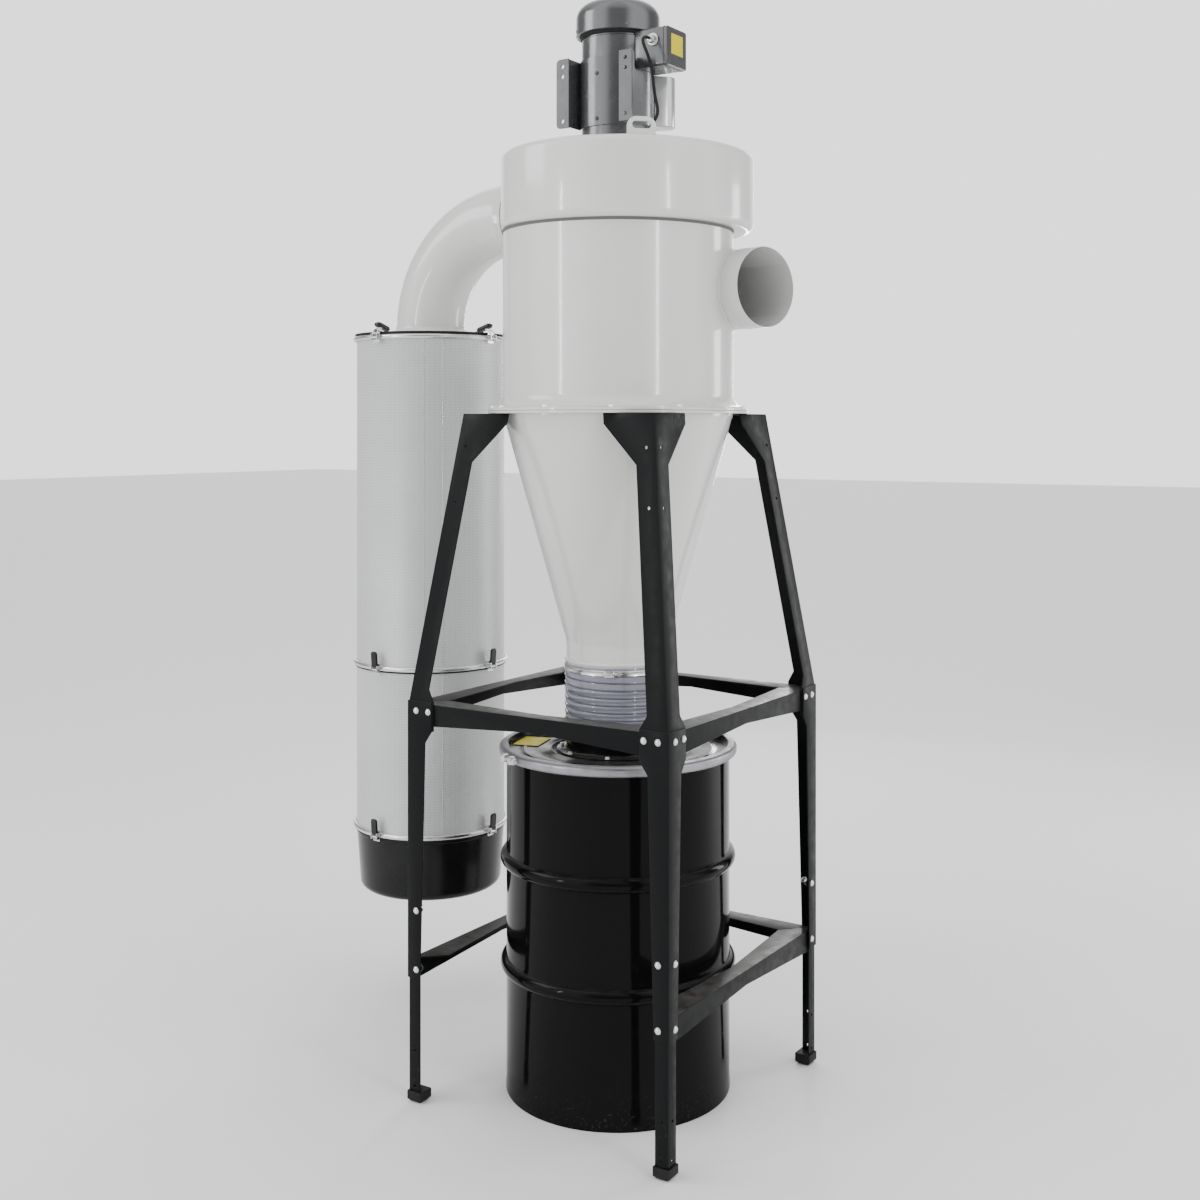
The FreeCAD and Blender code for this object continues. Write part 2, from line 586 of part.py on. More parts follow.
def transition_solid(inset, start_x, end_x):
    """A square-to-round body between the outlet face and the round collar."""
    high_y = scroll_radius(SCROLL_END) - inset
    low_y = scroll_radius(SCROLL_END) - OUTLET_WIDTH + inset
    low_z = BARREL_TOP_Z + inset
    high_z = HOUSING_TOP_Z - inset
    corners = [V(start_x, high_y, high_z), V(start_x, low_y, high_z),
               V(start_x, low_y, low_z), V(start_x, high_y, low_z)]
    square = Part.Wire([Part.makeLine(corners[i], corners[(i + 1) % 4]) for i in range(4)])
    radius = DUCT_RADIUS + FIT + DUCT_WALL - inset
    arcs = []
    for i in range(4):
        turns = [math.radians(45.0 + 90.0 * i + 45.0 * half) for half in range(3)]
        rim = [V(end_x, DUCT_Y + radius * math.cos(t), DUCT_Z + radius * math.sin(t)) for t in turns]
        arcs.append(Part.Arc(*rim).toShape())
    return Part.makeLoft([square, Part.Wire(arcs)], True, True)


def outlet_transition():
    outer = transition_solid(0.0, OUTLET_FACE_X, COLLAR_START_X)
    return outer.cut(transition_solid(DUCT_WALL, OUTLET_FACE_X, COLLAR_START_X))


def outlet_collar():
    outer = DUCT_RADIUS + FIT + DUCT_WALL
    return tube(outer, DUCT_WALL, V(COLLAR_START_X, DUCT_Y, DUCT_Z), V(COLLAR_END_X, DUCT_Y, DUCT_Z))


def elbow():
    """A 90 degree duct bend with a straight tail at each end."""
    start = V(ELBOW_X, DUCT_Y, DUCT_Z)
    ring_face = Part.Face(Part.Wire(Part.makeCircle(DUCT_RADIUS, start, V(1, 0, 0))))
    hole = Part.Face(Part.Wire(Part.makeCircle(DUCT_RADIUS - DUCT_WALL, start, V(1, 0, 0))))
    pivot = V(ELBOW_X, DUCT_Y, DUCT_Z - ELBOW_RADIUS)
    bend = ring_face.revolve(pivot, V(0, 1, 0), -90).cut(hole.revolve(pivot, V(0, 1, 0), -90))
    tail = tube(DUCT_RADIUS, DUCT_WALL, start, V(ELBOW_X + ELBOW_TAIL, DUCT_Y, DUCT_Z))
    foot = V(FILTER_X, DUCT_Y, DUCT_Z - ELBOW_RADIUS)
    down = tube(DUCT_RADIUS, DUCT_WALL, foot, V(FILTER_X, DUCT_Y, LID_TOP_Z))
    return join([bend, tail, down])


# --- filter stack ----------------------------------------------------------

def filter_lid():
    disc = ring(DUCT_RADIUS - DUCT_WALL, FILTER_RADIUS, LID_LOW_Z, LID_TOP_Z, FILTER_X, DUCT_Y)
    inner = DUCT_RADIUS + FIT
    stub = ring(inner, inner + DUCT_WALL, LID_TOP_Z, LID_TOP_Z + LID_STUB_HEIGHT, FILTER_X, DUCT_Y)
    return join([disc, stub])


def filter_ring(z):
    """A clamp band round a joint of the filter stack."""
    low = z - BAND_HEIGHT / 2.0
    return ring(FILTER_RADIUS + FIT, BAND_RADIUS, low, low + BAND_HEIGHT, FILTER_X, DUCT_Y)


def cartridge(low, high):
    return ring(FILTER_RADIUS - FILTER_MEDIA, FILTER_RADIUS, low, high, FILTER_X, DUCT_Y)


def dust_pan():
    top = FILTER_LOW_Z
    inner_top = FILTER_RADIUS - PAN_WALL
    inner_foot = PAN_FOOT_RADIUS - PAN_WALL
    bend = PAN_CORNER * QUARTER_BEND
    inner_corner = PAN_CORNER - PAN_WALL
    inner_bend = inner_corner * QUARTER_BEND
    floor = PAN_BOTTOM_Z + PAN_WALL
    return revolved(outline([
        (0.0, PAN_BOTTOM_Z), (PAN_FOOT_RADIUS - PAN_CORNER, PAN_BOTTOM_Z),
        (PAN_FOOT_RADIUS - bend, PAN_BOTTOM_Z + bend, "arc"), (PAN_FOOT_RADIUS, PAN_BOTTOM_Z + PAN_CORNER),
        (FILTER_RADIUS, top), (inner_top, top), (inner_foot, floor + inner_corner),
        (inner_foot - inner_bend, floor + inner_bend, "arc"), (inner_foot - inner_corner, floor),
        (0.0, floor)]), FILTER_X, DUCT_Y)


def latches():
    """Over-centre latches standing on the clamp bands, all the same."""
    centre = V(FILTER_X, DUCT_Y, 0)
    pieces = []
    for z in (FILTER_TOP_Z, FILTER_MID_Z, FILTER_LOW_Z):
        low = z - LATCH_HEIGHT / 2.0
        body = block(BAND_RADIUS, -LATCH_WIDTH / 2.0, low,
                     BAND_RADIUS + LATCH_DEPTH, LATCH_WIDTH / 2.0, low + LATCH_HEIGHT)
        upright = [edge for edge in body.Edges if edge.BoundBox.ZLength > LATCH_HEIGHT - 1.0
                   and edge.BoundBox.XMin > BAND_RADIUS + 1.0]
        body = body.makeFillet(LATCH_DEPTH / 3.0, upright)
        body = body.cut(Part.makeCylinder(BAND_RADIUS + FIT, LATCH_HEIGHT, V(0, 0, low)))
        body.translate(centre)
        for i in range(LATCHES_PER_RING):
            pieces.append(turned(body, LATCH_START + 360.0 * i / LATCHES_PER_RING, centre))
    return group(pieces)


# --- motor -----------------------------------------------------------------

def motor_base():
    """The hat-shaped sheet base: two feet, two webs and a saddle on the body."""
    foot_y = -SHAFT_HEIGHT
    saddle_y = -MOTOR_RADIUS - FIT
    inner = BASE_HALF_WIDTH - BASE_FOOT_WIDTH
    height = V(0, 0, BASE_TOP_Z - BASE_BOTTOM_Z)

    def strip(x0, y0, x1, y1):
        return prism([V(x0, y0, BASE_BOTTOM_Z), V(x1, y0, BASE_BOTTOM_Z),
                      V(x1, y1, BASE_BOTTOM_Z), V(x0, y1, BASE_BOTTOM_Z)], height)

    pieces = [strip(-inner, saddle_y - BASE_PLATE, inner, saddle_y)]
    for side in (-1.0, 1.0):
        pieces.append(strip(side * inner, foot_y, side * BASE_HALF_WIDTH, foot_y + BASE_PLATE))
        pieces.append(strip(side * inner, foot_y, side * (inner + BASE_PLATE), saddle_y))
    base = join(pieces)
    outer = [edge for edge in base.Edges if abs(abs(edge.BoundBox.XMin) - BASE_HALF_WIDTH) < 0.01
             and edge.BoundBox.XLength < 0.01 and edge.BoundBox.ZLength < 0.01]
    base = base.makeFillet(FOOT_CORNER, outer)
    holes = [cylinder(FOOT_HOLE_RADIUS, V(side * FOOT_HOLE_X, foot_y - BASE_PLATE, z),
                      V(side * FOOT_HOLE_X, foot_y + 2 * BASE_PLATE, z))
             for side in (-1.0, 1.0) for z in FOOT_HOLE_Z]
    return base.cut(holes)


def fan_cover():
    """The domed cover over the cooling fan, with a low raised cap in its middle."""
    middle = FAN_COVER_EDGE * QUARTER_BEND
    side = MOTOR_TOP_Z - FAN_COVER_EDGE
    top = MOTOR_TOP_Z + FAN_CAP_HEIGHT
    return revolved(outline([
        (0.0, FAN_COVER_Z), (FAN_COVER_RADIUS, FAN_COVER_Z), (FAN_COVER_RADIUS, side),
        (FAN_COVER_RADIUS - middle, MOTOR_TOP_Z - middle, "arc"),
        (FAN_COVER_RADIUS - FAN_COVER_EDGE, MOTOR_TOP_Z), (FAN_CAP_RADIUS, MOTOR_TOP_Z),
        (FAN_CAP_RADIUS, top), (0.0, top)]))


def conduit_box():
    near = MOTOR_RADIUS - BOX_DEPTH
    box = block(near, -BOX_HALF_WIDTH, BOX_Z[0], BOX_REACH, BOX_HALF_WIDTH, BOX_Z[1])
    long_edges = [edge for edge in box.Edges if edge.BoundBox.XLength > 1.0]
    box = box.makeFillet(BOX_EDGE, long_edges)
    return box.cut(Part.makeCylinder(MOTOR_RADIUS + FIT, BOX_Z[1] - BOX_Z[0], V(0, 0, BOX_Z[0])))


def capacitor_cover():
    half = CAPACITOR_WIDTH / 2.0
    height = CAPACITOR_Z[1] - CAPACITOR_Z[0]
    base = V(CAPACITOR_REACH - half, 0, CAPACITOR_Z[0])
    cover = join([Part.makeCylinder(half, height, base),
                  block(MOTOR_RADIUS - 8.0, -half, CAPACITOR_Z[0], CAPACITOR_REACH - half, half,
                        CAPACITOR_Z[1])])
    cover = cover.cut(Part.makeCylinder(MOTOR_RADIUS + FIT, height, V(0, 0, CAPACITOR_Z[0])))
    return turned(cover, CAPACITOR_AZIMUTH)


def lug_outline():
    """Edges of a lug plate: flared foot, straight sides and round shoulders."""
    body = LUG_BODY_WIDTH / 2.0
    flare = LUG_WIDTH / 2.0 - body
    top = HOUSING_TOP_Z + LUG_HEIGHT
    flare_in = flare * (1.0 - QUARTER_BEND)
    shoulder_in = LUG_SHOULDER * QUARTER_BEND
    half = [(body + flare, HOUSING_TOP_Z),
            (body + flare - flare_in, HOUSING_TOP_Z + flare - flare_in), (body, HOUSING_TOP_Z + flare),
            (body, top - LUG_SHOULDER),
            (body - shoulder_in, top - shoulder_in), (body - LUG_SHOULDER, top)]
    edges = []
    for side in (1.0, -1.0):
        foot, bend, hip, waist, round_off, crown = [V(LUG_DISTANCE, side * y, z) for y, z in half]
        edges += [Part.Arc(foot, bend, hip).toShape(), Part.makeLine(hip, waist),
                  Part.Arc(waist, round_off, crown).toShape()]
    edges.append(Part.makeLine(V(LUG_DISTANCE, LUG_SHOULDER - body, top),
                               V(LUG_DISTANCE, body - LUG_SHOULDER, top)))
    edges.append(Part.makeLine(V(LUG_DISTANCE, -body - flare, HOUSING_TOP_Z),
                               V(LUG_DISTANCE, body + flare, HOUSING_TOP_Z)))
    return Part.Wire(Part.sortEdges(edges)[0])


def lifting_lugs():
    """Bent plates with a lifting slot, one each side of the motor."""
    half = LUG_WIDTH / 2.0
    plate = Part.Face(lug_outline()).extrude(V(-LUG_PLATE, 0, 0))
    foot = block(LUG_DISTANCE - LUG_FOOT, -half, HOUSING_TOP_Z, LUG_DISTANCE, half,
                 HOUSING_TOP_Z + LUG_PLATE)
    length, height = LUG_SLOT
    slot_z = HOUSING_TOP_Z + LUG_HEIGHT * 0.6
    reach = length / 2.0 - height / 2.0
    ends = [cylinder(height / 2.0, V(LUG_DISTANCE + 1, y, slot_z), V(LUG_DISTANCE - 2 * LUG_PLATE, y, slot_z))
            for y in (-reach, reach)]
    slot = ends + [block(LUG_DISTANCE - 2 * LUG_PLATE, -reach, slot_z - height / 2.0,
                         LUG_DISTANCE + 1, reach, slot_z + height / 2.0)]
    lug = join([plate, foot]).cut(slot)
    return group([turned(lug, azimuth) for azimuth in LUG_AZIMUTHS])


# --- cord ------------------------------------------------------------------

def cord_point(index):
    x, y, height = CORD_ROUTE[index]
    return V(x, y, HOUSING_TOP_Z + height)


def cord_tube():
    """The motor cord: straight runs joined by tangent arcs, as large as they fit."""
    points = [cord_point(i) for i in range(len(CORD_ROUTE))]
    edges = []
    length = 0.0
    here = points[0]
    for before, corner, after in zip(points, points[1:], points[2:]):
        back = (before - corner)
        ahead = (after - corner)
        run = min(back.Length, ahead.Length)
        turn = math.pi - back.getAngle(ahead)
        cut = 0.45 * run
        radius = cut / math.tan(turn / 2.0)
        back.normalize()
        ahead.normalize()
        start = corner + back * cut
        end = corner + ahead * cut
        bisector = (back + ahead).normalize()
        centre = corner + bisector * math.hypot(cut, radius)
        middle = centre - bisector * radius
        edges.append(Part.LineSegment(here, start).toShape())
        edges.append(Part.Arc(start, middle, end).toShape())
        length += (start - here).Length + radius * turn
        here = end
        print("cord bend radius %.0f, turn %.0f degrees" % (radius, math.degrees(turn)))
    edges.append(Part.LineSegment(here, points[-1]).toShape())
    length += (points[-1] - here).Length
    section = Part.Wire(Part.makeCircle(CORD_DIAMETER / 2.0, points[0], points[1] - points[0]))
    solid = Part.Wire(edges).makePipeShell([section], True, True)
    print("cord length %.0f, volume ratio %.4f" % (
        length, solid.Volume / (length * math.pi * CORD_DIAMETER ** 2 / 4.0)))
    return solid


def gland(root, tip):
    """A wide flange on the housing's or box's face and a neck up to the cord."""
    shoulder = root + (tip - root).normalize() * GLAND_FLANGE
    return join([cylinder(GLAND_RADIUS, root, shoulder), cylinder(GLAND_NECK, shoulder, tip)])


def cord_glands():
    """A gland on the conduit box and one on the housing's top plate."""
    first = cord_point(0)
    last = cord_point(-1)
    return group([gland(V(first.x, -BOX_HALF_WIDTH, first.z), first),
                  gland(V(last.x, last.y, HOUSING_TOP_Z), last)])


# --- build -----------------------------------------------------------------

os.makedirs("parts", exist_ok=True)

for corner, angle in CORNERS.items():
    save(turned(upper_leg(), angle), "upper_leg_" + corner)
    save(turned(lower_leg(), angle), "lower_leg_" + corner)
save(group([turned(leg_extension(), angle) for angle in CORNERS.values()]), "leg_extensions")
save(group([turned(foot_cap(), angle) for angle in CORNERS.values()]), "foot_caps")
SIDES = {"right": 0.0, "back": 90.0, "left": 180.0, "front": 270.0}
for side, angle in SIDES.items():
    save(turned(rail(MID_RAIL_TOP_Z), angle), "mid_rail_" + side)
    if side != "front":
        save(turned(rail(LOWER_RAIL_TOP_Z), angle), "lower_rail_" + side)

save(drum_shell(), "drum_shell")
save(drum_bottom(), "drum_bottom")
save(drum_lid(), "drum_lid")
save(closure_ring(), "drum_closure_ring")
save(lid_collar(), "lid_collar")
save(ring(HOSE_RADIUS - HOSE_WALL, HOSE_RADIUS, HOSE_BOTTOM_Z, HOSE_TOP_Z), "flex_hose")
save(hose_clamps(), "hose_clamps")

save(cone(), "cone")
save(ring(BARREL_RADIUS, FLANGE_RADIUS, LEG_TOP_Z, CONE_FLANGE_TOP), "cone_flange")
save(ring(BARREL_RADIUS, FLANGE_RADIUS, CONE_FLANGE_TOP, BARREL_FLANGE_TOP), "barrel_flange")
save(barrel(), "barrel")
save(vortex_tube(), "vortex_tube")
save(inlet_duct(), "inlet_duct")

save(housing_bottom_plate(), "housing_bottom_plate")
save(housing_wrap(), "housing_wrap")
save(housing_top_plate(), "housing_top_plate")
save(outlet_transition(), "outlet_transition")
save(outlet_collar(), "outlet_collar")
save(elbow(), "elbow")

save(filter_lid(), "filter_lid")
save(ring(FILTER_RADIUS - FILTER_MEDIA, FILTER_RADIUS, FILTER_TOP_Z, LID_LOW_Z, FILTER_X, DUCT_Y),
     "filter_gasket")
save(filter_ring(FILTER_TOP_Z), "filter_top_ring")
save(filter_ring(FILTER_MID_Z), "filter_middle_ring")
save(filter_ring(FILTER_LOW_Z), "filter_lower_ring")
save(cartridge(FILTER_MID_Z, FILTER_TOP_Z), "filter_cartridge_upper")
save(cartridge(FILTER_LOW_Z, FILTER_MID_Z), "filter_cartridge_lower")
save(dust_pan(), "dust_pan")
save(latches(), "filter_latches")

save(Part.makeCylinder(MOTOR_RADIUS, BELL_TOP_Z - HOUSING_TOP_Z, V(0, 0, HOUSING_TOP_Z)), "motor_end_bell")
save(Part.makeCylinder(MOTOR_RADIUS, FAN_COVER_Z - BELL_TOP_Z, V(0, 0, BELL_TOP_Z)), "motor_body")
save(fan_cover(), "motor_fan_cover")
save(motor_base(), "motor_base")
save(conduit_box(), "conduit_box")
save(capacitor_cover(), "capacitor_cover")
save(lifting_lugs(), "lifting_lugs")
save(cord_glands(), "cord_glands")
save(cord_tube(), "motor_cord")
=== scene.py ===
"""Looks of a cyclone dust separator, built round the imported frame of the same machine.

Every size is in metres. The machine stands on the floor at z = 0 under its cyclone, and the open
side of its stand faces -Y. Shells that turn round an axis are rebuilt as smooth lathed walls, bent
sheet pieces are bevelled copies of the frame's, and screws, ribs, slots and latches are repeated by
Geometry Nodes.
"""

from __future__ import annotations

import logging
import math
from dataclasses import dataclass
from enum import Enum
from typing import Any, Iterable, Sequence

import bmesh
import bpy
from mathutils import Matrix, Vector

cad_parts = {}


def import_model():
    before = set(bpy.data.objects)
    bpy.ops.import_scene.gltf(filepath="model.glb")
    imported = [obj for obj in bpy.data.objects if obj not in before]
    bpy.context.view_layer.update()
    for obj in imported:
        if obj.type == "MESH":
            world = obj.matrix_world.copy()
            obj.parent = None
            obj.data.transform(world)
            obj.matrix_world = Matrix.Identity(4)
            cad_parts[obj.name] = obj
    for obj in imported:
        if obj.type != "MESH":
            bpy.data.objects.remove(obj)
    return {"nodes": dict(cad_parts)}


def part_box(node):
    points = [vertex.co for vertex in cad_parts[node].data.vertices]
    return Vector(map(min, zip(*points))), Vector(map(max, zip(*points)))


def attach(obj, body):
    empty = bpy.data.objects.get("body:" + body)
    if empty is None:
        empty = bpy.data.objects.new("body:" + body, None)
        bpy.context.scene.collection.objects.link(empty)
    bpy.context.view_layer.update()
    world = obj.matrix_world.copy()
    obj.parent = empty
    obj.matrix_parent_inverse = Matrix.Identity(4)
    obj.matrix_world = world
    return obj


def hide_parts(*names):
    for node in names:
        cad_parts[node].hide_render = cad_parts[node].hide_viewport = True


LOG = logging.getLogger("cyclone")
BODY = "root"
UP = Vector((0.0, 0.0, 1.0))
ROUND = 160                     # segments round the large shells
GLAND_ROUND = 64                # segments round a cord gland
SMOOTH = 38.0                   # degrees over which an edge stays sharp
HALF_ARC = 1.0 - math.sqrt(0.5)  # how far in the middle of a quarter arc lies, as a share of its radius
Outline = list[tuple[float, float]]
Section = list[tuple[Any, ...]]  # an outline for trace(), whose 3-tuples are the middles of arcs
Places = list[tuple[Vector, Vector]]  # a position and an outward direction each
Piece = bpy.types.Object
Socket = bpy.types.NodeSocket


class Slot(Enum):
    """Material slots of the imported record."""

    WHITE = "white_paint"
    STAND = "stand_black"
    DRUM = "drum_black"
    LID = "lid_black"
    RING = "ring_steel"
    CLAMP = "clamp_steel"
    HOSE = "clear_hose"
    MEDIA = "filter_media"
    GASKET = "gasket_rubber"
    FOOT = "foot_rubber"
    PAN = "pan_black"
    MOTOR = "motor_grey"
    GLAND = "gland_steel"
    CORD = "cord_rubber"


# --- node trees --------------------------------------------------------------


class Graph:
    """Short calls that fill a shader or geometry node tree."""

    def __init__(self, tree: bpy.types.NodeTree) -> None:
        """Keep the tree that the calls fill."""
        self.tree = tree

    def node(self, kind: str, values: dict[Any, Any] | None = None, **settings: Any) -> bpy.types.Node:
        """Add one node.

        Args:
            kind: Blender's type name of the node.
            values: Input name or number to a plain value, or to the socket that feeds it.
            **settings: Properties set on the node first.

        Returns:
            The new node.
        """
        made = self.tree.nodes.new(kind)
        for key, value in settings.items():
            setattr(made, key, value)
        self.fill(made, values or {})
        return made

    def fill(self, node: bpy.types.Node, values: dict[Any, Any]) -> None:
        """Give a node its inputs.

        Args:
            node: The node to fill.
            values: Input name or number to a plain value, or to the socket that feeds it.
        """
        for key, value in values.items():
            if isinstance(value, Socket):
                self.tree.links.new(value, node.inputs[key])
            else:
                node.inputs[key].default_value = value

    def math(self, operation: str, first: Any, second: Any = 0.0) -> Socket:
        """A math node's result for two values or sockets."""
        return self.node("ShaderNodeMath", {0: first, 1: second}, operation=operation).outputs[0]

    def noise(self, where: Socket, scale: float, detail: float = 3.0) -> Socket:
        """A noise value at a place, of this many features in a metre."""
        made = self.node("ShaderNodeTexNoise", {"Vector": where, "Scale": scale, "Detail": detail})
        return made.outputs["Fac"]

    def span(self, value: Socket, low: float, high: float, start: float, end: float) -> Any:
        """Map a value from low..high to start..end, held at both ends."""
        made = self.node("ShaderNodeMapRange", {0: value, 1: low, 2: high, 3: start, 4: end})
        return made.outputs[0]

    def blend(self, share: Any, first: Any, second: Any) -> Socket:
        """Mix two colours by a share."""
        return self.node("ShaderNodeMix", {0: share, 6: first, 7: second}, data_type="RGBA").outputs[2]

    def bump(self, height: Any, strength: float, distance: float) -> Socket:
        """A normal bent by a height."""
        made = self.node("ShaderNodeBump", {"Height": height, "Strength": strength, "Distance": distance})
        return made.outputs[0]


DUST = (0.47, 0.45, 0.41, 1.0)          # workshop dust on upward faces
BARE_STEEL = (0.12, 0.115, 0.105, 1.0)  # what scuffed paint lets through
BLOOM = (0.1, 0.1, 0.1, 1.0)            # grey film on old rubber and plastic


def shade_of(color: Sequence[float], share: float) -> tuple[float, float, float, float]:
    """A colour made lighter or darker, with full alpha."""
    return (color[0] * share, color[1] * share, color[2] * share, 1.0)


@dataclass(frozen=True)
class Finish:
    """A surface finish that becomes one procedural material."""

    name: str
    color: tuple[float, float, float]
    roughness: float

    def material(self) -> bpy.types.Material:
        """Make the finish's material, or find the one made before.

        Returns:
            The material.
        """
        known = bpy.data.materials.get(self.name)
        if known is not None:
            return known
        made = bpy.data.materials.new(self.name)
        made.use_nodes = True
        made.node_tree.nodes.clear()
        graph = Graph(made.node_tree)
        shader = graph.node("ShaderNodeBsdfPrincipled", {"Roughness": self.roughness})
        graph.node("ShaderNodeOutputMaterial", {"Surface": shader.outputs[0]})
        where = graph.node("ShaderNodeTexCoord").outputs["Object"]
        self.dress(graph, shader, where)
        return made

    def dress(self, graph: Graph, shader: bpy.types.Node, where: Socket) -> None:
        """Give the shader the finish's colour, roughness and relief.

        Args:
            graph: The material's node tree.
            shader: The surface shader to fill.
            where: A place on the object, in metres.
        """
        raise NotImplementedError


@dataclass(frozen=True)
class Paint(Finish):
    """Sprayed or baked paint: soft mottling, orange peel, dust on top, scuffs low down."""

    coat: float = 0.0
    peel: float = 0.12
    peel_scale: float = 260.0
    dust: float = 0.25
    scuff_height: float = 0.0
    gloss: float = 0.5          # specular level
    metal: float = 0.0          # share of metal flake

    def dress(self, graph: Graph, shader: bpy.types.Node, where: Socket) -> None:
        """Mottle the paint, lay dust on what faces up and scuff what is near the floor.

        Args:
            graph: The material's node tree.
            shader: The surface shader to fill.
            where: A place on the object, in metres.
        """
        broad = graph.noise(where, 2.3, 4.0)
        fine = graph.noise(where, 38.0, 5.0)
        base = graph.blend(graph.span(broad, 0.3, 0.7, 0.0, 1.0), shade_of(self.color, 0.95),
                           shade_of(self.color, 1.04))
        facing = graph.node("ShaderNodeSeparateXYZ",
                            {0: graph.node("ShaderNodeNewGeometry").outputs["Normal"]}).outputs[2]
        settled = graph.math("MULTIPLY", graph.span(facing, 0.55, 1.0, 0.0, self.dust),
                             graph.span(fine, 0.3, 0.75, 0.25, 1.0))
        base = graph.blend(settled, base, DUST)
        rough = graph.math("ADD", graph.span(fine, 0.3, 0.7, self.roughness * 0.8, self.roughness * 1.3),
                           graph.math("MULTIPLY", settled, 0.5))
        if self.scuff_height > 0.0:
            height = graph.node("ShaderNodeSeparateXYZ", {0: where}).outputs[2]
            low = graph.span(height, 0.0, self.scuff_height, 1.0, 0.0)
            rub = graph.span(graph.noise(where, 150.0, 8.0), 0.6, 0.72, 0.0, 0.3)
            marks = graph.math("MULTIPLY", low, rub)
            base = graph.blend(marks, base, BARE_STEEL)
            rough = graph.math("ADD", rough, graph.math("MULTIPLY", marks, 0.35))
        relief = graph.bump(graph.noise(where, self.peel_scale, 2.0), self.peel, 0.0004)
        graph.fill(shader, {"Base Color": base, "Roughness": rough, "Normal": relief,
                            "Coat Weight": self.coat, "Coat Roughness": 0.06,
                            "Specular IOR Level": self.gloss, "Metallic": self.metal})


@dataclass(frozen=True)
class Metal(Finish):
    """Bare or plated metal with fine drawn lines and patches of dulling."""

    grain: tuple[float, float, float] = (40.0, 40.0, 900.0)
    tarnish: float = 0.2

    def dress(self, graph: Graph, shader: bpy.types.Node, where: Socket) -> None:
        """Stretch a noise into grain and dull the metal in patches.

        Args:
            graph: The material's node tree.
            shader: The surface shader to fill.
            where: A place on the object, in metres.
        """
        stretched = graph.node("ShaderNodeMapping", {"Vector": where, "Scale": self.grain}).outputs[0]
        grain = graph.noise(stretched, 1.0, 4.0)
        patch = graph.noise(where, 24.0, 5.0)
        dull = graph.span(patch, 0.4, 0.7, 0.0, self.tarnish)
        base = graph.blend(dull, shade_of(self.color, 1.0), shade_of(self.color, 0.55))
        rough = graph.math("ADD", graph.span(grain, 0.3, 0.7, self.roughness * 0.75, self.roughness * 1.35),
                           graph.math("MULTIPLY", dull, 0.6))
        graph.fill(shader, {"Base Color": base, "Roughness": rough, "Metallic": 1.0,
                            "Normal": graph.bump(grain, 0.08, 0.0002)})


@dataclass(frozen=True)
class Moulded(Finish):
    """Moulded rubber or plastic with a fine grain and a grey bloom."""

    grain_scale: float = 700.0
    bloom: float = 0.3
    gloss: float = 0.3          # specular level

    def dress(self, graph: Graph, shader: bpy.types.Node, where: Socket) -> None:
        """Cloud the colour and raise a fine grain.

        Args:
            graph: The material's node tree.
            shader: The surface shader to fill.
            where: A place on the object, in metres.
        """
        cloud = graph.span(graph.noise(where, 14.0, 5.0), 0.35, 0.75, 0.0, self.bloom)
        base = graph.blend(cloud, shade_of(self.color, 1.0), BLOOM)
        rough = graph.math("ADD", graph.math("MULTIPLY", cloud, 0.5), self.roughness)
        relief = graph.bump(graph.noise(where, self.grain_scale, 2.0), 0.25, 0.0003)
        graph.fill(shader, {"Base Color": base, "Roughness": rough, "Normal": relief,
                            "Specular IOR Level": self.gloss})


@dataclass(frozen=True)
class ClearPlastic(Finish):
    """Translucent hose plastic that lets part of the light through, with an uneven tint."""

    clear: float = 0.45

    def dress(self, graph: Graph, shader: bpy.types.Node, where: Socket) -> None:
        """Tint the plastic unevenly and let part of the light through.

        Args:
            graph: The material's node tree.
            shader: The surface shader to fill.
            where: A place on the object, in metres.
        """
        cloud = graph.noise(where, 9.0, 4.0)
        base = graph.blend(graph.span(cloud, 0.3, 0.7, 0.0, 1.0), shade_of(self.color, 0.86),
                           shade_of(self.color, 1.1))
        rough = graph.span(graph.noise(where, 60.0, 4.0), 0.3, 0.7, self.roughness * 0.6,
                           self.roughness * 1.5)
        graph.fill(shader, {"Base Color": base, "Roughness": rough, "Transmission Weight": self.clear,
                            "IOR": 1.4, "Coat Weight": 0.35})


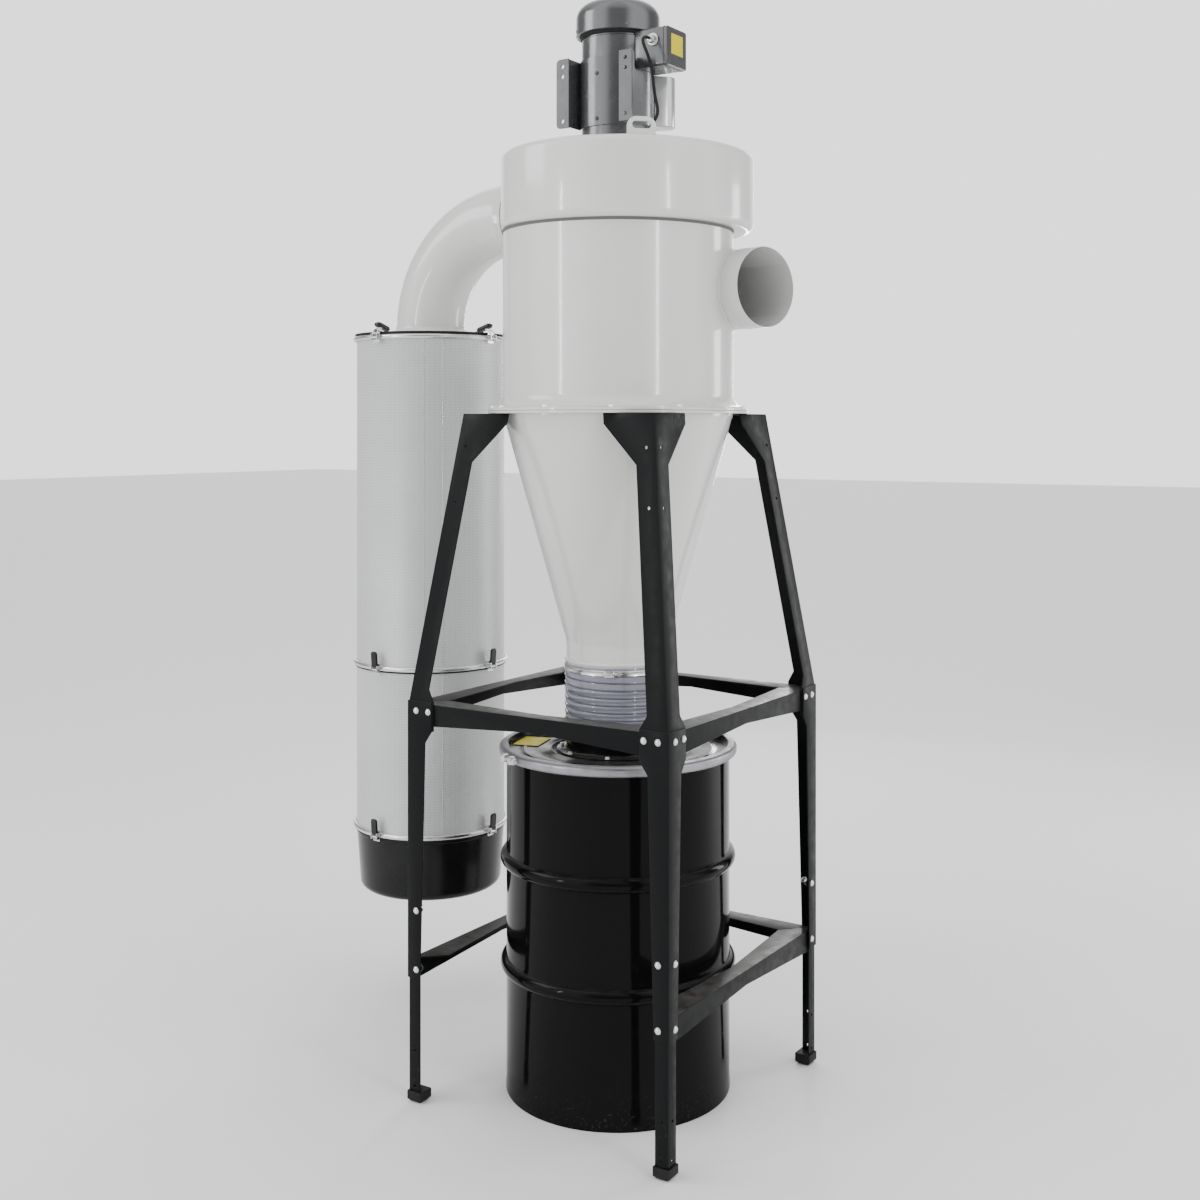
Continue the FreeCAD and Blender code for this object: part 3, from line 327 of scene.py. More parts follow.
@dataclass(frozen=True)
class Perforated(Finish):
    """Plated sheet with staggered round holes, with the pale pleats behind them painted in shade; reads the
    piece's UV map.
    """

    pitch: float = 0.0052       # hole spacing round the sheet, in metres
    hole: float = 0.3           # hole radius as a share of the pitch
    pleat: float = 0.0148       # pleat spacing, in metres

    def dress(self, graph: Graph, shader: bpy.types.Node, where: Socket) -> None:
        """Draw two interleaved grids of holes and the pleats' shading behind them.

        Args:
            graph: The material's node tree.
            shader: The surface shader to fill.
            where: A place on the object, in metres.
        """
        place = graph.node("ShaderNodeUVMap").outputs[0]
        across, along = graph.node("ShaderNodeSeparateXYZ", {0: place}).outputs[:2]
        rise = self.pitch * math.sqrt(3.0)
        nearest = None
        for shift in (0.0, 0.5):
            offsets = []
            for value, step in ((across, self.pitch), (along, rise)):
                turns = graph.math("ADD", graph.math("DIVIDE", value, step), shift)
                part = graph.math("SUBTRACT", graph.math("FRACT", turns), 0.5)
                offsets.append(graph.math("MULTIPLY", part, step / self.pitch))
            squares = [graph.math("MULTIPLY", value, value) for value in offsets]
            gap = graph.math("SQRT", graph.math("ADD", squares[0], squares[1]))
            nearest = gap if nearest is None else graph.math("MINIMUM", nearest, gap)
        open_share = graph.span(nearest, self.hole - 0.05, self.hole + 0.05, 1.0, 0.0)
        phase = graph.math("MULTIPLY", across, 2.0 * math.pi / self.pleat)
        fold = graph.span(graph.math("SINE", phase), -1.0, 1.0, 0.0, 1.0)
        cloud = graph.noise(where, 3.0, 4.0)
        sheet = graph.blend(graph.span(cloud, 0.3, 0.7, 0.0, 1.0), shade_of(self.color, 0.93),
                            shade_of(self.color, 1.05))
        # painted shade: the pale pleats seen through the holes are darkened to 22-40% of the sheet's colour,
        # lighter and darker across each fold
        behind = graph.blend(fold, shade_of(self.color, 0.22), shade_of(self.color, 0.4))
        base = graph.blend(graph.math("MULTIPLY", open_share, 0.6), sheet, behind)
        rough = graph.span(open_share, 0.0, 1.0, self.roughness, 0.85)
        shine = graph.span(open_share, 0.0, 1.0, 0.35, 0.0)
        ripple = graph.math("MULTIPLY", fold, 0.05)
        relief = graph.bump(graph.math("SUBTRACT", ripple, open_share), 0.5, 0.0008)
        graph.fill(shader, {"Base Color": base, "Roughness": rough, "Metallic": shine, "Normal": relief})


WHITE = Paint("white_gloss_paint", (0.73, 0.73, 0.715), 0.16, coat=0.35, peel=0.05, dust=0.12)
STAND_BLACK = Paint("black_powder_coat", (0.0055, 0.006, 0.0066), 0.36, peel=0.3, peel_scale=900.0,
                    dust=0.14, scuff_height=0.2, gloss=0.1)
DRUM_BLACK = Paint("black_drum_enamel", (0.0035, 0.0035, 0.004), 0.09, peel=0.05, dust=0.04,
                   scuff_height=0.1, gloss=0.09)
LID_BLACK = Paint("black_lid_enamel", (0.005, 0.005, 0.0055), 0.16, peel=0.08, dust=0.08, gloss=0.2)
MOTOR_GREY = Paint("grey_motor_paint", (0.135, 0.139, 0.143), 0.22, coat=0.2, peel=0.03, dust=0.05,
                   metal=0.7)
CAPACITOR_GREY = Paint("capacitor_cover_paint", (0.62, 0.625, 0.63), 0.2, coat=0.3, peel=0.1, dust=0.1,
                       metal=0.7)
RING_STEEL = Metal("closure_ring_zinc", (0.36, 0.36, 0.38), 0.38, tarnish=0.3)
CLAMP_STEEL = Metal("clamp_zinc", (0.72, 0.72, 0.73), 0.2, tarnish=0.25)
BOLT_STEEL = Metal("bolt_zinc", (0.82, 0.82, 0.82), 0.26, grain=(300.0, 300.0, 300.0), tarnish=0.15)
# black oxide steel, also used for the dark patches painted as the shade inside the fan cover's vent slots
DARK_STEEL_AND_VENT_SHADE = Metal("black_oxide_steel", (0.08, 0.08, 0.085), 0.4, grain=(300.0, 300.0, 300.0))
# black rubber, also used for the ring painted as the shadow gap under the motor's fan cover
RUBBER_AND_SHADE_BLACK = Moulded("black_rubber", (0.008, 0.008, 0.008), 0.6, bloom=0.12, gloss=0.2)
# a grey painted as shade: the shadow gap under the blower housing and the shade line at the elbow's seam
JOINT_SHADE_GREY = Moulded("grey_joint_sealer", (0.13, 0.13, 0.125), 0.6)
GRIP = Moulded("black_grip_plastic", (0.012, 0.012, 0.013), 0.3, bloom=0.1)
PAN_BLACK = Moulded("black_pan_plastic", (0.006, 0.006, 0.007), 0.2, bloom=0.05, gloss=0.22)
HOSE_CLEAR = ClearPlastic("ribbed_hose_plastic", (0.38, 0.385, 0.46), 0.1, clear=0.3)
HOSE_WIRE = ClearPlastic("hose_rib_plastic", (0.11, 0.11, 0.15), 0.14, clear=0.1)
MEDIA = Perforated("perforated_filter_sheet", (0.7, 0.71, 0.72), 0.42)
LABEL = Paint("blank_yellow_label", (0.66, 0.57, 0.004), 0.4, peel=0.02, dust=0.05, gloss=0.25)
PLATE_BLANK = Metal("blank_data_plate", (0.62, 0.62, 0.6), 0.35)


# --- meshes ------------------------------------------------------------------


def without_repeats(points: Outline) -> Outline:
    """Drop the points of an outline that repeat the one before.

    Args:
        points: The outline.

    Returns:
        The outline that is left.
    """
    kept = [points[0]]
    for point in points[1:]:
        if math.dist(point, kept[-1]) > 1e-7:
            kept.append(point)
    return kept


def soften(points: Outline, radius: float, steps: int = 4, closed: bool = True) -> Outline:
    """Round the corners of an outline.

    Args:
        points: Corners of the outline.
        radius: Corner radius, cut down where a side is short.
        steps: Points along each rounded corner, less one.
        closed: Whether the last corner joins the first.

    Returns:
        The outline with rounded corners.
    """
    result: Outline = []
    count = len(points)
    for index, point in enumerate(points):
        if not closed and index in (0, count - 1):
            result.append(point)
            continue
        corner = Vector(point)
        before = Vector(points[index - 1]) - corner
        after = Vector(points[(index + 1) % count]) - corner
        if before.length < 1e-6 or after.length < 1e-6:
            continue
        half = before.angle(after) / 2.0
        if half > math.radians(87.0):
            result.append(point)
            continue
        cut = min(radius / math.tan(half), before.length * 0.45, after.length * 0.45)
        start = corner + before.normalized() * cut
        end = corner + after.normalized() * cut
        for step in range(steps + 1):
            share = step / steps
            spot = start * (1 - share) ** 2 + corner * 2 * share * (1 - share) + end * share ** 2
            result.append((spot.x, spot.y))
    return without_repeats(result)


def skin(rows: int, around: int, closed: bool = True) -> list[tuple[int, ...]]:
    """Four-sided faces between rows of points that each go once round.

    Args:
        rows: Number of rows.
        around: Points in each row.
        closed: Whether the last row joins the first.

    Returns:
        The faces, as point numbers.
    """
    faces = []
    for row in range(rows if closed else rows - 1):
        ahead = (row + 1) % rows
        for step in range(around):
            turn = (step + 1) % around
            faces.append((row * around + step, row * around + turn, ahead * around + turn,
                          ahead * around + step))
    return faces


def finish_mesh(name: str, verts: Iterable[Any], faces: Iterable[Any],
                sharp: float = SMOOTH) -> Piece:
    """Make an object from raw faces, with clean edges and outward normals.

    Args:
        name: The object's name.
        verts: Its points.
        faces: Its faces, as point numbers.
        sharp: Angle over which an edge stays sharp.

    Returns:
        The object.
    """
    mesh = bpy.data.meshes.new(name)
    mesh.from_pydata([tuple(v) for v in verts], [], [tuple(f) for f in faces])
    return cleaned(new_object(name, mesh), sharp)


def new_object(name: str, data: bpy.types.ID) -> Piece:
    """Make an object and link it into the scene.

    Args:
        name: The object's name.
        data: Its mesh, curve, lamp or camera.

    Returns:
        The object.
    """
    made = bpy.data.objects.new(name, data)
    bpy.context.scene.collection.objects.link(made)
    return made


def smoothed(piece: Piece, sharp: float = SMOOTH) -> Piece:
    """Shade a piece smooth.

    Args:
        piece: The piece.
        sharp: Angle over which an edge stays sharp.

    Returns:
        The same piece.
    """
    piece.data.shade_smooth()
    piece.data.set_sharp_from_angle(angle=math.radians(sharp))
    return piece


def cleaned(piece: Piece, sharp: float = SMOOTH, merge: float = 1e-6) -> Piece:
    """Merge doubles, turn faces outwards and mark the sharp edges of a piece.

    Args:
        piece: The piece to clean.
        sharp: Angle over which an edge stays sharp.
        merge: Points nearer than this become one.

    Returns:
        The same piece.
    """
    work = bmesh.new()
    work.from_mesh(piece.data)
    bmesh.ops.remove_doubles(work, verts=work.verts, dist=merge)
    bmesh.ops.dissolve_degenerate(work, edges=work.edges, dist=merge)
    bmesh.ops.recalc_face_normals(work, faces=work.faces)
    work.to_mesh(piece.data)
    work.free()
    return smoothed(piece, sharp)


def lathe(name: str, outline: Outline, centre: tuple[float, float] = (0.0, 0.0), around: int = ROUND,
          closed: bool = True, sharp: float = SMOOTH) -> Piece:
    """Turn a (radius, height) outline round a vertical axis, with a UV map in metres.

    Args:
        name: The piece's name.
        outline: Points of the wall's section.
        centre: The axis in plan.
        around: Number of segments.
        closed: Whether the section's last point joins its first.
        sharp: Angle over which an edge stays sharp.

    Returns:
        The turned piece.
    """
    verts = []
    for radius, height in outline:
        for step in range(around):
            angle = 2.0 * math.pi * step / around
            verts.append((centre[0] + radius * math.cos(angle), centre[1] + radius * math.sin(angle), height))
    piece = finish_mesh(name, verts, skin(len(outline), around, closed), sharp)
    map_round(piece, centre)
    return piece


def map_round(piece: Piece, centre: tuple[float, float]) -> None:
    """Give a turned piece a UV map: distance round the axis, and height.

    Args:
        piece: The turned piece.
        centre: Its axis in plan.
    """
    mesh = piece.data
    layer = mesh.uv_layers.new(name="UVMap")
    for face in mesh.polygons:
        middle = math.atan2(face.center.y - centre[1], face.center.x - centre[0])
        for loop in face.loop_indices:
            spot = mesh.vertices[mesh.loops[loop].vertex_index].co
            offset = Vector((spot.x - centre[0], spot.y - centre[1]))
            angle = math.atan2(offset.y, offset.x)
            if angle - middle > math.pi:
                angle -= 2.0 * math.pi
            elif middle - angle > math.pi:
                angle += 2.0 * math.pi
            layer.data[loop].uv = (angle * offset.length, spot.z)


def plate(name: str, outline: Outline, low: float, high: float, edge: float) -> Piece:
    """Make a flat plate with softened edges.

    Args:
        name: The plate's name.
        outline: Its outline in plan.
        low: Height of its lower face.
        high: Height of its upper face.
        edge: Width of the softened edge.

    Returns:
        The plate.
    """
    count = len(outline)
    middle = Vector((sum(p[0] for p in outline) / count, sum(p[1] for p in outline) / count))
    rows = [(edge, low), (0.0, low + edge), (0.0, high - edge), (edge, high)]
    verts = []
    for inset, height in rows:
        for point in outline:
            spot = Vector(point)
            spot -= (spot - middle).normalized() * inset
            verts.append((spot.x, spot.y, height))
    ends = [tuple(range(count))[::-1], tuple(3 * count + i for i in range(count))]
    return finish_mesh(name, verts, ends + skin(len(rows), count, False))


def rectangle(size: Sequence[float], corner: float) -> Outline:
    """The outline of a rectangle about the origin with rounded corners."""
    half_x, half_y = size[0] / 2.0, size[1] / 2.0
    return soften([(half_x, half_y), (-half_x, half_y), (-half_x, -half_y), (half_x, -half_y)], corner)


def box_piece(name: str, size: tuple[float, float, float], edge: float) -> Piece:
    """A box about the origin with rounded upright corners and softened edges."""
    return plate(name, rectangle(size, edge * 2.0), -size[2] / 2.0, size[2] / 2.0, edge)


def spun(spot: Vector, degrees: float) -> Matrix:
    """A placing at a spot, turned about the vertical."""
    return Matrix.Translation(spot) @ Matrix.Rotation(math.radians(degrees), 4, "Z")


def aimed(spot: Vector, direction: Vector) -> Matrix:
    """A placing at a spot that points an upright part along a direction."""
    return Matrix.Translation(spot) @ UP.rotation_difference(direction).to_matrix().to_4x4()


def lying(spot: Vector) -> Matrix:
    """A placing at a spot that lays an upright part along -X."""
    return Matrix.Translation(spot) @ Matrix.Rotation(math.radians(-90.0), 4, "Y")


def moved(piece: Piece, matrix: Matrix) -> Piece:
    """Put a move, turn or stretch into a piece's mesh."""
    piece.data.transform(matrix)
    return piece


def merged(name: str, pieces: Sequence[Piece]) -> Piece:
    """Join pieces into one mesh, with their materials kept.

    Args:
        name: Name of the joined piece.
        pieces: The pieces, which are removed.

    Returns:
        The joined piece.
    """
    mesh = bpy.data.meshes.new(name)
    work = bmesh.new()
    uv_needed = any(piece.data.uv_layers for piece in pieces)
    for piece in pieces:
        start = len(work.faces)
        work.from_mesh(piece.data)
        work.faces.ensure_lookup_table()
        for material in piece.data.materials:
            if material is not None and material.name not in mesh.materials:
                mesh.materials.append(material)
        for face in work.faces[start:]:
            if piece.data.materials:
                used = piece.data.materials[min(face.material_index, len(piece.data.materials) - 1)]
                face.material_index = mesh.materials.find(used.name)
    work.to_mesh(mesh)
    work.free()
    if uv_needed and not mesh.uv_layers:
        mesh.uv_layers.new(name="UVMap")
    for piece in pieces:
        bpy.data.objects.remove(piece)
    return new_object(name, mesh)


def paint(piece: Piece, finish: Finish) -> Piece:
    """Give a piece one finish all over.

    Args:
        piece: The piece.
        finish: Its finish.

    Returns:
        The same piece.
    """
    piece.data.materials.clear()
    piece.data.materials.append(finish.material())
    return piece


def settle(piece: Piece, stands_for: Sequence[str] = ()) -> Piece:
    """Let a finished piece ride on the machine.

    Args:
        piece: The piece, with its material.
        stands_for: The frame's nodes that it replaces.

    Returns:
        The same piece.
    """
    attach(piece, BODY)
    if stands_for:
        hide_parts(*stands_for)
    LOG.info("%s: %d faces", piece.name, len(piece.data.polygons))
    return piece


def turned(name: str, outline: Outline, finish: Finish, stands_for: Sequence[str] = (),
           centre: tuple[float, float] = (0.0, 0.0)) -> None:
    """Turn an outline, give it its finish and let it ride on the machine.

    Args:
        name: The piece's name.
        outline: Points of the wall's section.
        finish: Its finish.
        stands_for: The frame's nodes that it replaces.
        centre: The axis in plan.
    """
    settle(paint(lathe(name, outline, centre), finish), stands_for)


def baked(piece: Piece, name: str | None = None) -> Piece:
    """Apply a piece's modifiers.

    Args:
        piece: The piece, which is removed.
        name: Name of the result, if it isn't the piece's own.

    Returns:
        A plain mesh object.
    """
    depsgraph = bpy.context.evaluated_depsgraph_get()
    mesh = bpy.data.meshes.new_from_object(piece.evaluated_get(depsgraph), preserve_all_data_layers=True,
                                           depsgraph=depsgraph)
    title = name or piece.name
    bpy.data.objects.remove(piece)
    made = new_object(title, mesh)
    made.name = title
    return made


def bevelled(node: str, width: float, segments: int = 2) -> Piece:
    """Copy a frame node, join its flat faces and round its edges.

    Args:
        node: The frame's node.
        width: Width of the rounded edges.
        segments: Faces across a rounded edge.

    Returns:
        The copy.
    """
    source = bpy.data.objects[node]
    piece = new_object(node + "_sheet", source.data.copy())
    work = bmesh.new()
    work.from_mesh(piece.data)
    bmesh.ops.remove_doubles(work, verts=work.verts, dist=1e-5)
    bmesh.ops.dissolve_limit(work, angle_limit=math.radians(1.5), verts=work.verts, edges=work.edges)
    work.to_mesh(piece.data)
    work.free()
    modifier = piece.modifiers.new("round_edges", "BEVEL")
    modifier.width = width
    modifier.segments = segments
    modifier.limit_method = "ANGLE"
    modifier.angle_limit = math.radians(32.0)
    modifier.harden_normals = False
    return smoothed(baked(piece), 40.0)


# --- geometry nodes ----------------------------------------------------------


class Repeater:
    """Geometry Nodes that put a small part at many places and make one mesh of them."""

    def __init__(self) -> None:
        """Build the tree: a part on every point, aimed along the point's stored direction."""
        self.tree = bpy.data.node_groups.new("part_on_points", "GeometryNodeTree")
        sockets = self.tree.interface
        sockets.new_socket("Points", in_out="INPUT", socket_type="NodeSocketGeometry")
        self.part, self.scale, self.finish = (
            sockets.new_socket(label, in_out="INPUT", socket_type="NodeSocket" + kind).identifier
            for label, kind in (("Part", "Object"), ("Size", "Float"), ("Finish", "Material")))
        sockets.new_socket("Result", in_out="OUTPUT", socket_type="NodeSocketGeometry")
        graph = Graph(self.tree)
        given = graph.node("NodeGroupInput").outputs
        aim = graph.node("GeometryNodeInputNamedAttribute", {"Name": "aim"}, data_type="FLOAT_VECTOR")
        spin = graph.node("GeometryNodeInputNamedAttribute", {"Name": "up"}, data_type="FLOAT_VECTOR")
        turn = graph.node("FunctionNodeAlignRotationToVector", {"Vector": aim.outputs[0]}, axis="Z")
        turn = graph.node("FunctionNodeAlignRotationToVector",
                          {"Rotation": turn.outputs[0], "Vector": spin.outputs[0]}, axis="X", pivot_axis="Z")
        part = graph.node("GeometryNodeObjectInfo", {"Object": given["Part"]})
        placed = graph.node("GeometryNodeInstanceOnPoints",
                            {"Points": given["Points"], "Instance": part.outputs["Geometry"],
                             "Rotation": turn.outputs[0], "Scale": given["Size"]})
        real = graph.node("GeometryNodeRealizeInstances", {0: placed.outputs[0]})
        dressed = graph.node("GeometryNodeSetMaterial", {"Geometry": real.outputs[0],
                                                         "Material": given["Finish"]})
        graph.node("NodeGroupOutput", {0: dressed.outputs[0]})

    def spread(self, name: str, part: Piece, places: Places, finish: Finish, size: float = 1.0,
               up: Vector = UP) -> Piece:
        """One mesh with the part at every place.

        Args:
            name: Name of the mesh made.
            part: The part, about its origin, standing along +Z; it is removed afterwards.
            places: Position and outward direction of each copy.
            finish: Finish of all copies.
            size: Scale of the part.
            up: Direction that the part's +X side turns towards, as far as it can.

        Returns:
            The mesh of all copies.
        """
        mesh = bpy.data.meshes.new(name)
        mesh.from_pydata([tuple(spot) for spot, _ in places], [], [])
        for label, values in (("aim", [aim for _, aim in places]), ("up", [up] * len(places))):
            layer = mesh.attributes.new(label, "FLOAT_VECTOR", "POINT")
            for index, value in enumerate(values):
                layer.data[index].vector = value
        carrier = new_object(name + "_points", mesh)
        modifier = carrier.modifiers.new("repeat", "NODES")
        modifier.node_group = self.tree
        modifier[self.part] = part
        modifier[self.scale] = size
        modifier[self.finish] = finish.material()
        made = baked(carrier, name)
        bpy.data.objects.remove(part)
        for label in ("aim", "up"):
            if label in made.data.attributes:
                made.data.attributes.remove(made.data.attributes[label])
        return smoothed(made)

    def screw(self, name: str, part: Piece, places: Places, finish: Finish = BOLT_STEEL) -> None:
        """Put a screw or nut at every place and let the set ride on the machine."""
        settle(self.spread(name, part, places, finish))


class HoseRib:
    """Geometry Nodes for the stiff helix wound through a hose."""

    def __init__(self) -> None:
        """Build the tree: a spiral swept with a round wire."""
        self.tree = bpy.data.node_groups.new("hose_helix", "GeometryNodeTree")
        sockets = self.tree.interface
        sockets.new_socket("Start", in_out="INPUT", socket_type="NodeSocketGeometry")
        self.names = {label: sockets.new_socket(label, in_out="INPUT", socket_type=kind).identifier
                      for label, kind in (("Radius", "NodeSocketFloat"), ("Height", "NodeSocketFloat"),
                                          ("Turns", "NodeSocketFloat"), ("Wire", "NodeSocketFloat"),
                                          ("Base", "NodeSocketFloat"), ("Finish", "NodeSocketMaterial"))}
        sockets.new_socket("Result", in_out="OUTPUT", socket_type="NodeSocketGeometry")
        graph = Graph(self.tree)
        given = graph.node("NodeGroupInput").outputs
        spiral = graph.node("GeometryNodeCurveSpiral",
                            {"Resolution": 64, "Rotations": given["Turns"], "Start Radius": given["Radius"],
                             "End Radius": given["Radius"], "Height": given["Height"]})
        wire = graph.node("GeometryNodeCurvePrimitiveCircle", {"Resolution": 8, "Radius": given["Wire"]})
        swept = graph.node("GeometryNodeCurveToMesh", {"Curve": spiral.outputs[0],
                                                       "Profile Curve": wire.outputs[0], "Fill Caps": True})
        lift = graph.node("ShaderNodeCombineXYZ", {2: given["Base"]})
        raised = graph.node("GeometryNodeTransform", {"Geometry": swept.outputs[0],
                                                      "Translation": lift.outputs[0]})
        real = graph.node("GeometryNodeRealizeInstances", {0: raised.outputs[0]})
        dressed = graph.node("GeometryNodeSetMaterial", {"Geometry": real.outputs[0],
                                                         "Material": given["Finish"]})
        graph.node("NodeGroupOutput", {0: dressed.outputs[0]})

    def wind(self, name: str, finish: Finish, **sizes: float) -> Piece:
        """Wind one helix.

        Args:
            name: The helix's name.
            finish: Its finish.
            **sizes: The tree's named sizes: Radius, Height, Turns, Wire and Base.

        Returns:
            The helix, as a mesh.
        """
        carrier = new_object(name + "_start", bpy.data.meshes.new(name + "_start"))
        modifier = carrier.modifiers.new("helix", "NODES")
        modifier.node_group = self.tree
        for label, value in sizes.items():
            modifier[self.names[label]] = float(value)
        modifier[self.names["Finish"]] = finish.material()
        made = baked(carrier, name)
        made.data.shade_smooth()
        return made


def dome_bolt(radius: float, height: float, washer: float, washer_height: float) -> Piece:
    """Make a domed screw head on its washer, standing on the origin.

    Args:
        radius: Radius of the head.
        height: Height of the head above its washer.
        washer: Radius of the washer.
        washer_height: Its thickness.

    Returns:
        The screw.
    """
    section = [(0.0, washer_height + height), (radius * 0.45, washer_height + height * 0.94),
               (radius * 0.82, washer_height + height * 0.68), (radius, washer_height + height * 0.25),
               (radius, washer_height), (washer, washer_height), (washer, 0.0), (0.0, 0.0)]
    return lathe("bolt_part", section, around=24, closed=False)


def hex_bolt(radius: float, height: float, washer: float, washer_height: float) -> Piece:
    """Make a six-sided head with a chamfered top on a round washer, standing on the origin.

    Args:
        radius: Radius over the head's corners.
        height: Height of the head above its washer.
        washer: Radius of the washer.
        washer_height: Its thickness.

    Returns:
        The bolt.
    """
    verts = []
    for reach, share in ((radius, 0.0), (radius, 0.8), (radius * 0.86, 1.0)):
        verts += [polar(reach, 60.0 * i, washer_height + height * share) for i in range(6)]
    ends = [tuple(range(12, 18)), tuple(range(5, -1, -1))]
    head = finish_mesh("bolt_head", verts, ends + skin(3, 6, False))
    disc = lathe("bolt_washer", [(0.0, washer_height), (washer * 0.95, washer_height),
                                 (washer, washer_height * 0.7), (washer, 0.0), (0.0, 0.0)],
                 around=20, closed=False)
    return merged("bolt_part", [head, disc])


def polar(radius: float, degrees: float, height: float, centre: tuple[float, float] = (0.0, 0.0)) -> Vector:
    """A point at a radius and azimuth about a vertical axis."""
    angle = math.radians(degrees)
    return Vector((centre[0] + radius * math.cos(angle), centre[1] + radius * math.sin(angle), height))


def circle(count: int, radius: float, height: float, first: float = 0.0, aim: Vector = UP) -> Places:
    """Places evenly spaced round the machine's axis, all aimed one way."""
    return [(polar(radius, first + 360.0 * i / count, height), aim) for i in range(count)]


def trace(points: Section, steps: int = 8) -> Outline:
    """Follow a (radius, height) outline whose 3-tuple points are the middles of arcs.

    Args:
        points: Corners, with (radius, height, "arc") between an arc's two ends.
        steps: Points along each arc.

    Returns:
        The outline with its arcs divided.
    """
    result: Outline = []
    closed = list(points) + [points[0]]
    index = 0
    while index < len(points):
        start = Vector(closed[index][:2])
        result.append((start.x, start.y))
        if index + 1 < len(points) and len(closed[index + 1]) == 3:
            middle, end = Vector(closed[index + 1][:2]), Vector(closed[index + 2][:2])
            centre = circle_centre(start, middle, end)
            first, last = start - centre, end - centre
            turn = last.angle_signed(first)
            if abs((middle - centre).angle_signed(first)) > abs(turn):
                turn -= math.copysign(2.0 * math.pi, turn)
            for step in range(1, steps):
                angle = turn * step / steps
                spot = centre + Vector((first.x * math.cos(angle) - first.y * math.sin(angle),
                                        first.x * math.sin(angle) + first.y * math.cos(angle)))
                result.append((spot.x, spot.y))
            index += 2
        else:
            index += 1
    return without_repeats(result)


def circle_centre(first: Vector, second: Vector, third: Vector) -> Vector:
    """Find the centre of the circle through three points in a plane.

    Args:
        first: One point.
        second: Another.
        third: And another.

    Returns:
        The centre.
    """
    left, right = second - first, third - first
    cross = 2.0 * (left.x * right.y - left.y * right.x)
    left_sq, right_sq = left.length_squared, right.length_squared
    return first + Vector(((right.y * left_sq - left.y * right_sq) / cross,
                           (left.x * right_sq - right.x * left_sq) / cross))


def wire(name: str, points: Sequence[Sequence[float]], radius: float,
         closed: bool = False) -> Piece:
    """Make a round wire along points.

    Args:
        name: The wire's name.
        points: The points that it runs through.
        radius: The wire's radius.
        closed: Whether it comes back to its first point.

    Returns:
        The wire, as a mesh.
    """
    curve = bpy.data.curves.new(name, "CURVE")
    curve.dimensions = "3D"
    curve.bevel_depth = radius
    curve.bevel_resolution = 3
    curve.use_fill_caps = True
    spline = curve.splines.new("POLY")
    spline.points.add(len(points) - 1)
    for spot, point in zip(spline.points, points):
        spot.co = (*point, 1.0)
    spline.use_cyclic_u = closed
    holder = new_object(name + "_line", curve)
    return cleaned(baked(holder, name), 50.0)


def cut(piece: Piece, cutters: Sequence[Piece],
        sharp: float = SMOOTH) -> Piece:
    """Cut solid shapes out of a piece.

    Args:
        piece: The piece to cut.
        cutters: Solid shapes, which are removed.
        sharp: Angle over which an edge stays sharp.

    Returns:
        The piece that is left.
    """
    for tool in cutters:
        modifier = piece.modifiers.new("cut", "BOOLEAN")
        modifier.operation = "DIFFERENCE"
        modifier.solver = "EXACT"
        modifier.object = tool
    done = baked(piece)
    for tool in cutters:
        bpy.data.objects.remove(tool)
    return smoothed(done, sharp)


def rod(name: str, start: Vector, end: Vector, radius: float, sides: int = 16) -> Piece:
    """Make a plain round rod, used to cut holes and as a pin.

    Args:
        name: The rod's name.
        start: Middle of one end.
        end: Middle of the other end.
        radius: The rod's radius.
        sides: Segments round it.

    Returns:
        The rod.
    """
    axis = end - start
    section = [(0.0, 0.0), (radius, 0.0), (radius, axis.length), (0.0, axis.length)]
    return moved(lathe(name, section, around=sides, closed=False), aimed(start, axis))


# --- sub-assemblies ----------------------------------------------------------


def low(node: str) -> Vector:
    """Lowest corner of a frame node."""
    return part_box(node)[0]


def high(node: str) -> Vector:
    """Highest corner of a frame node."""
    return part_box(node)[1]


@dataclass
class Assembly:
    """A sub-assembly of the machine, with the node tree that repeats its small parts."""

    repeater: Repeater


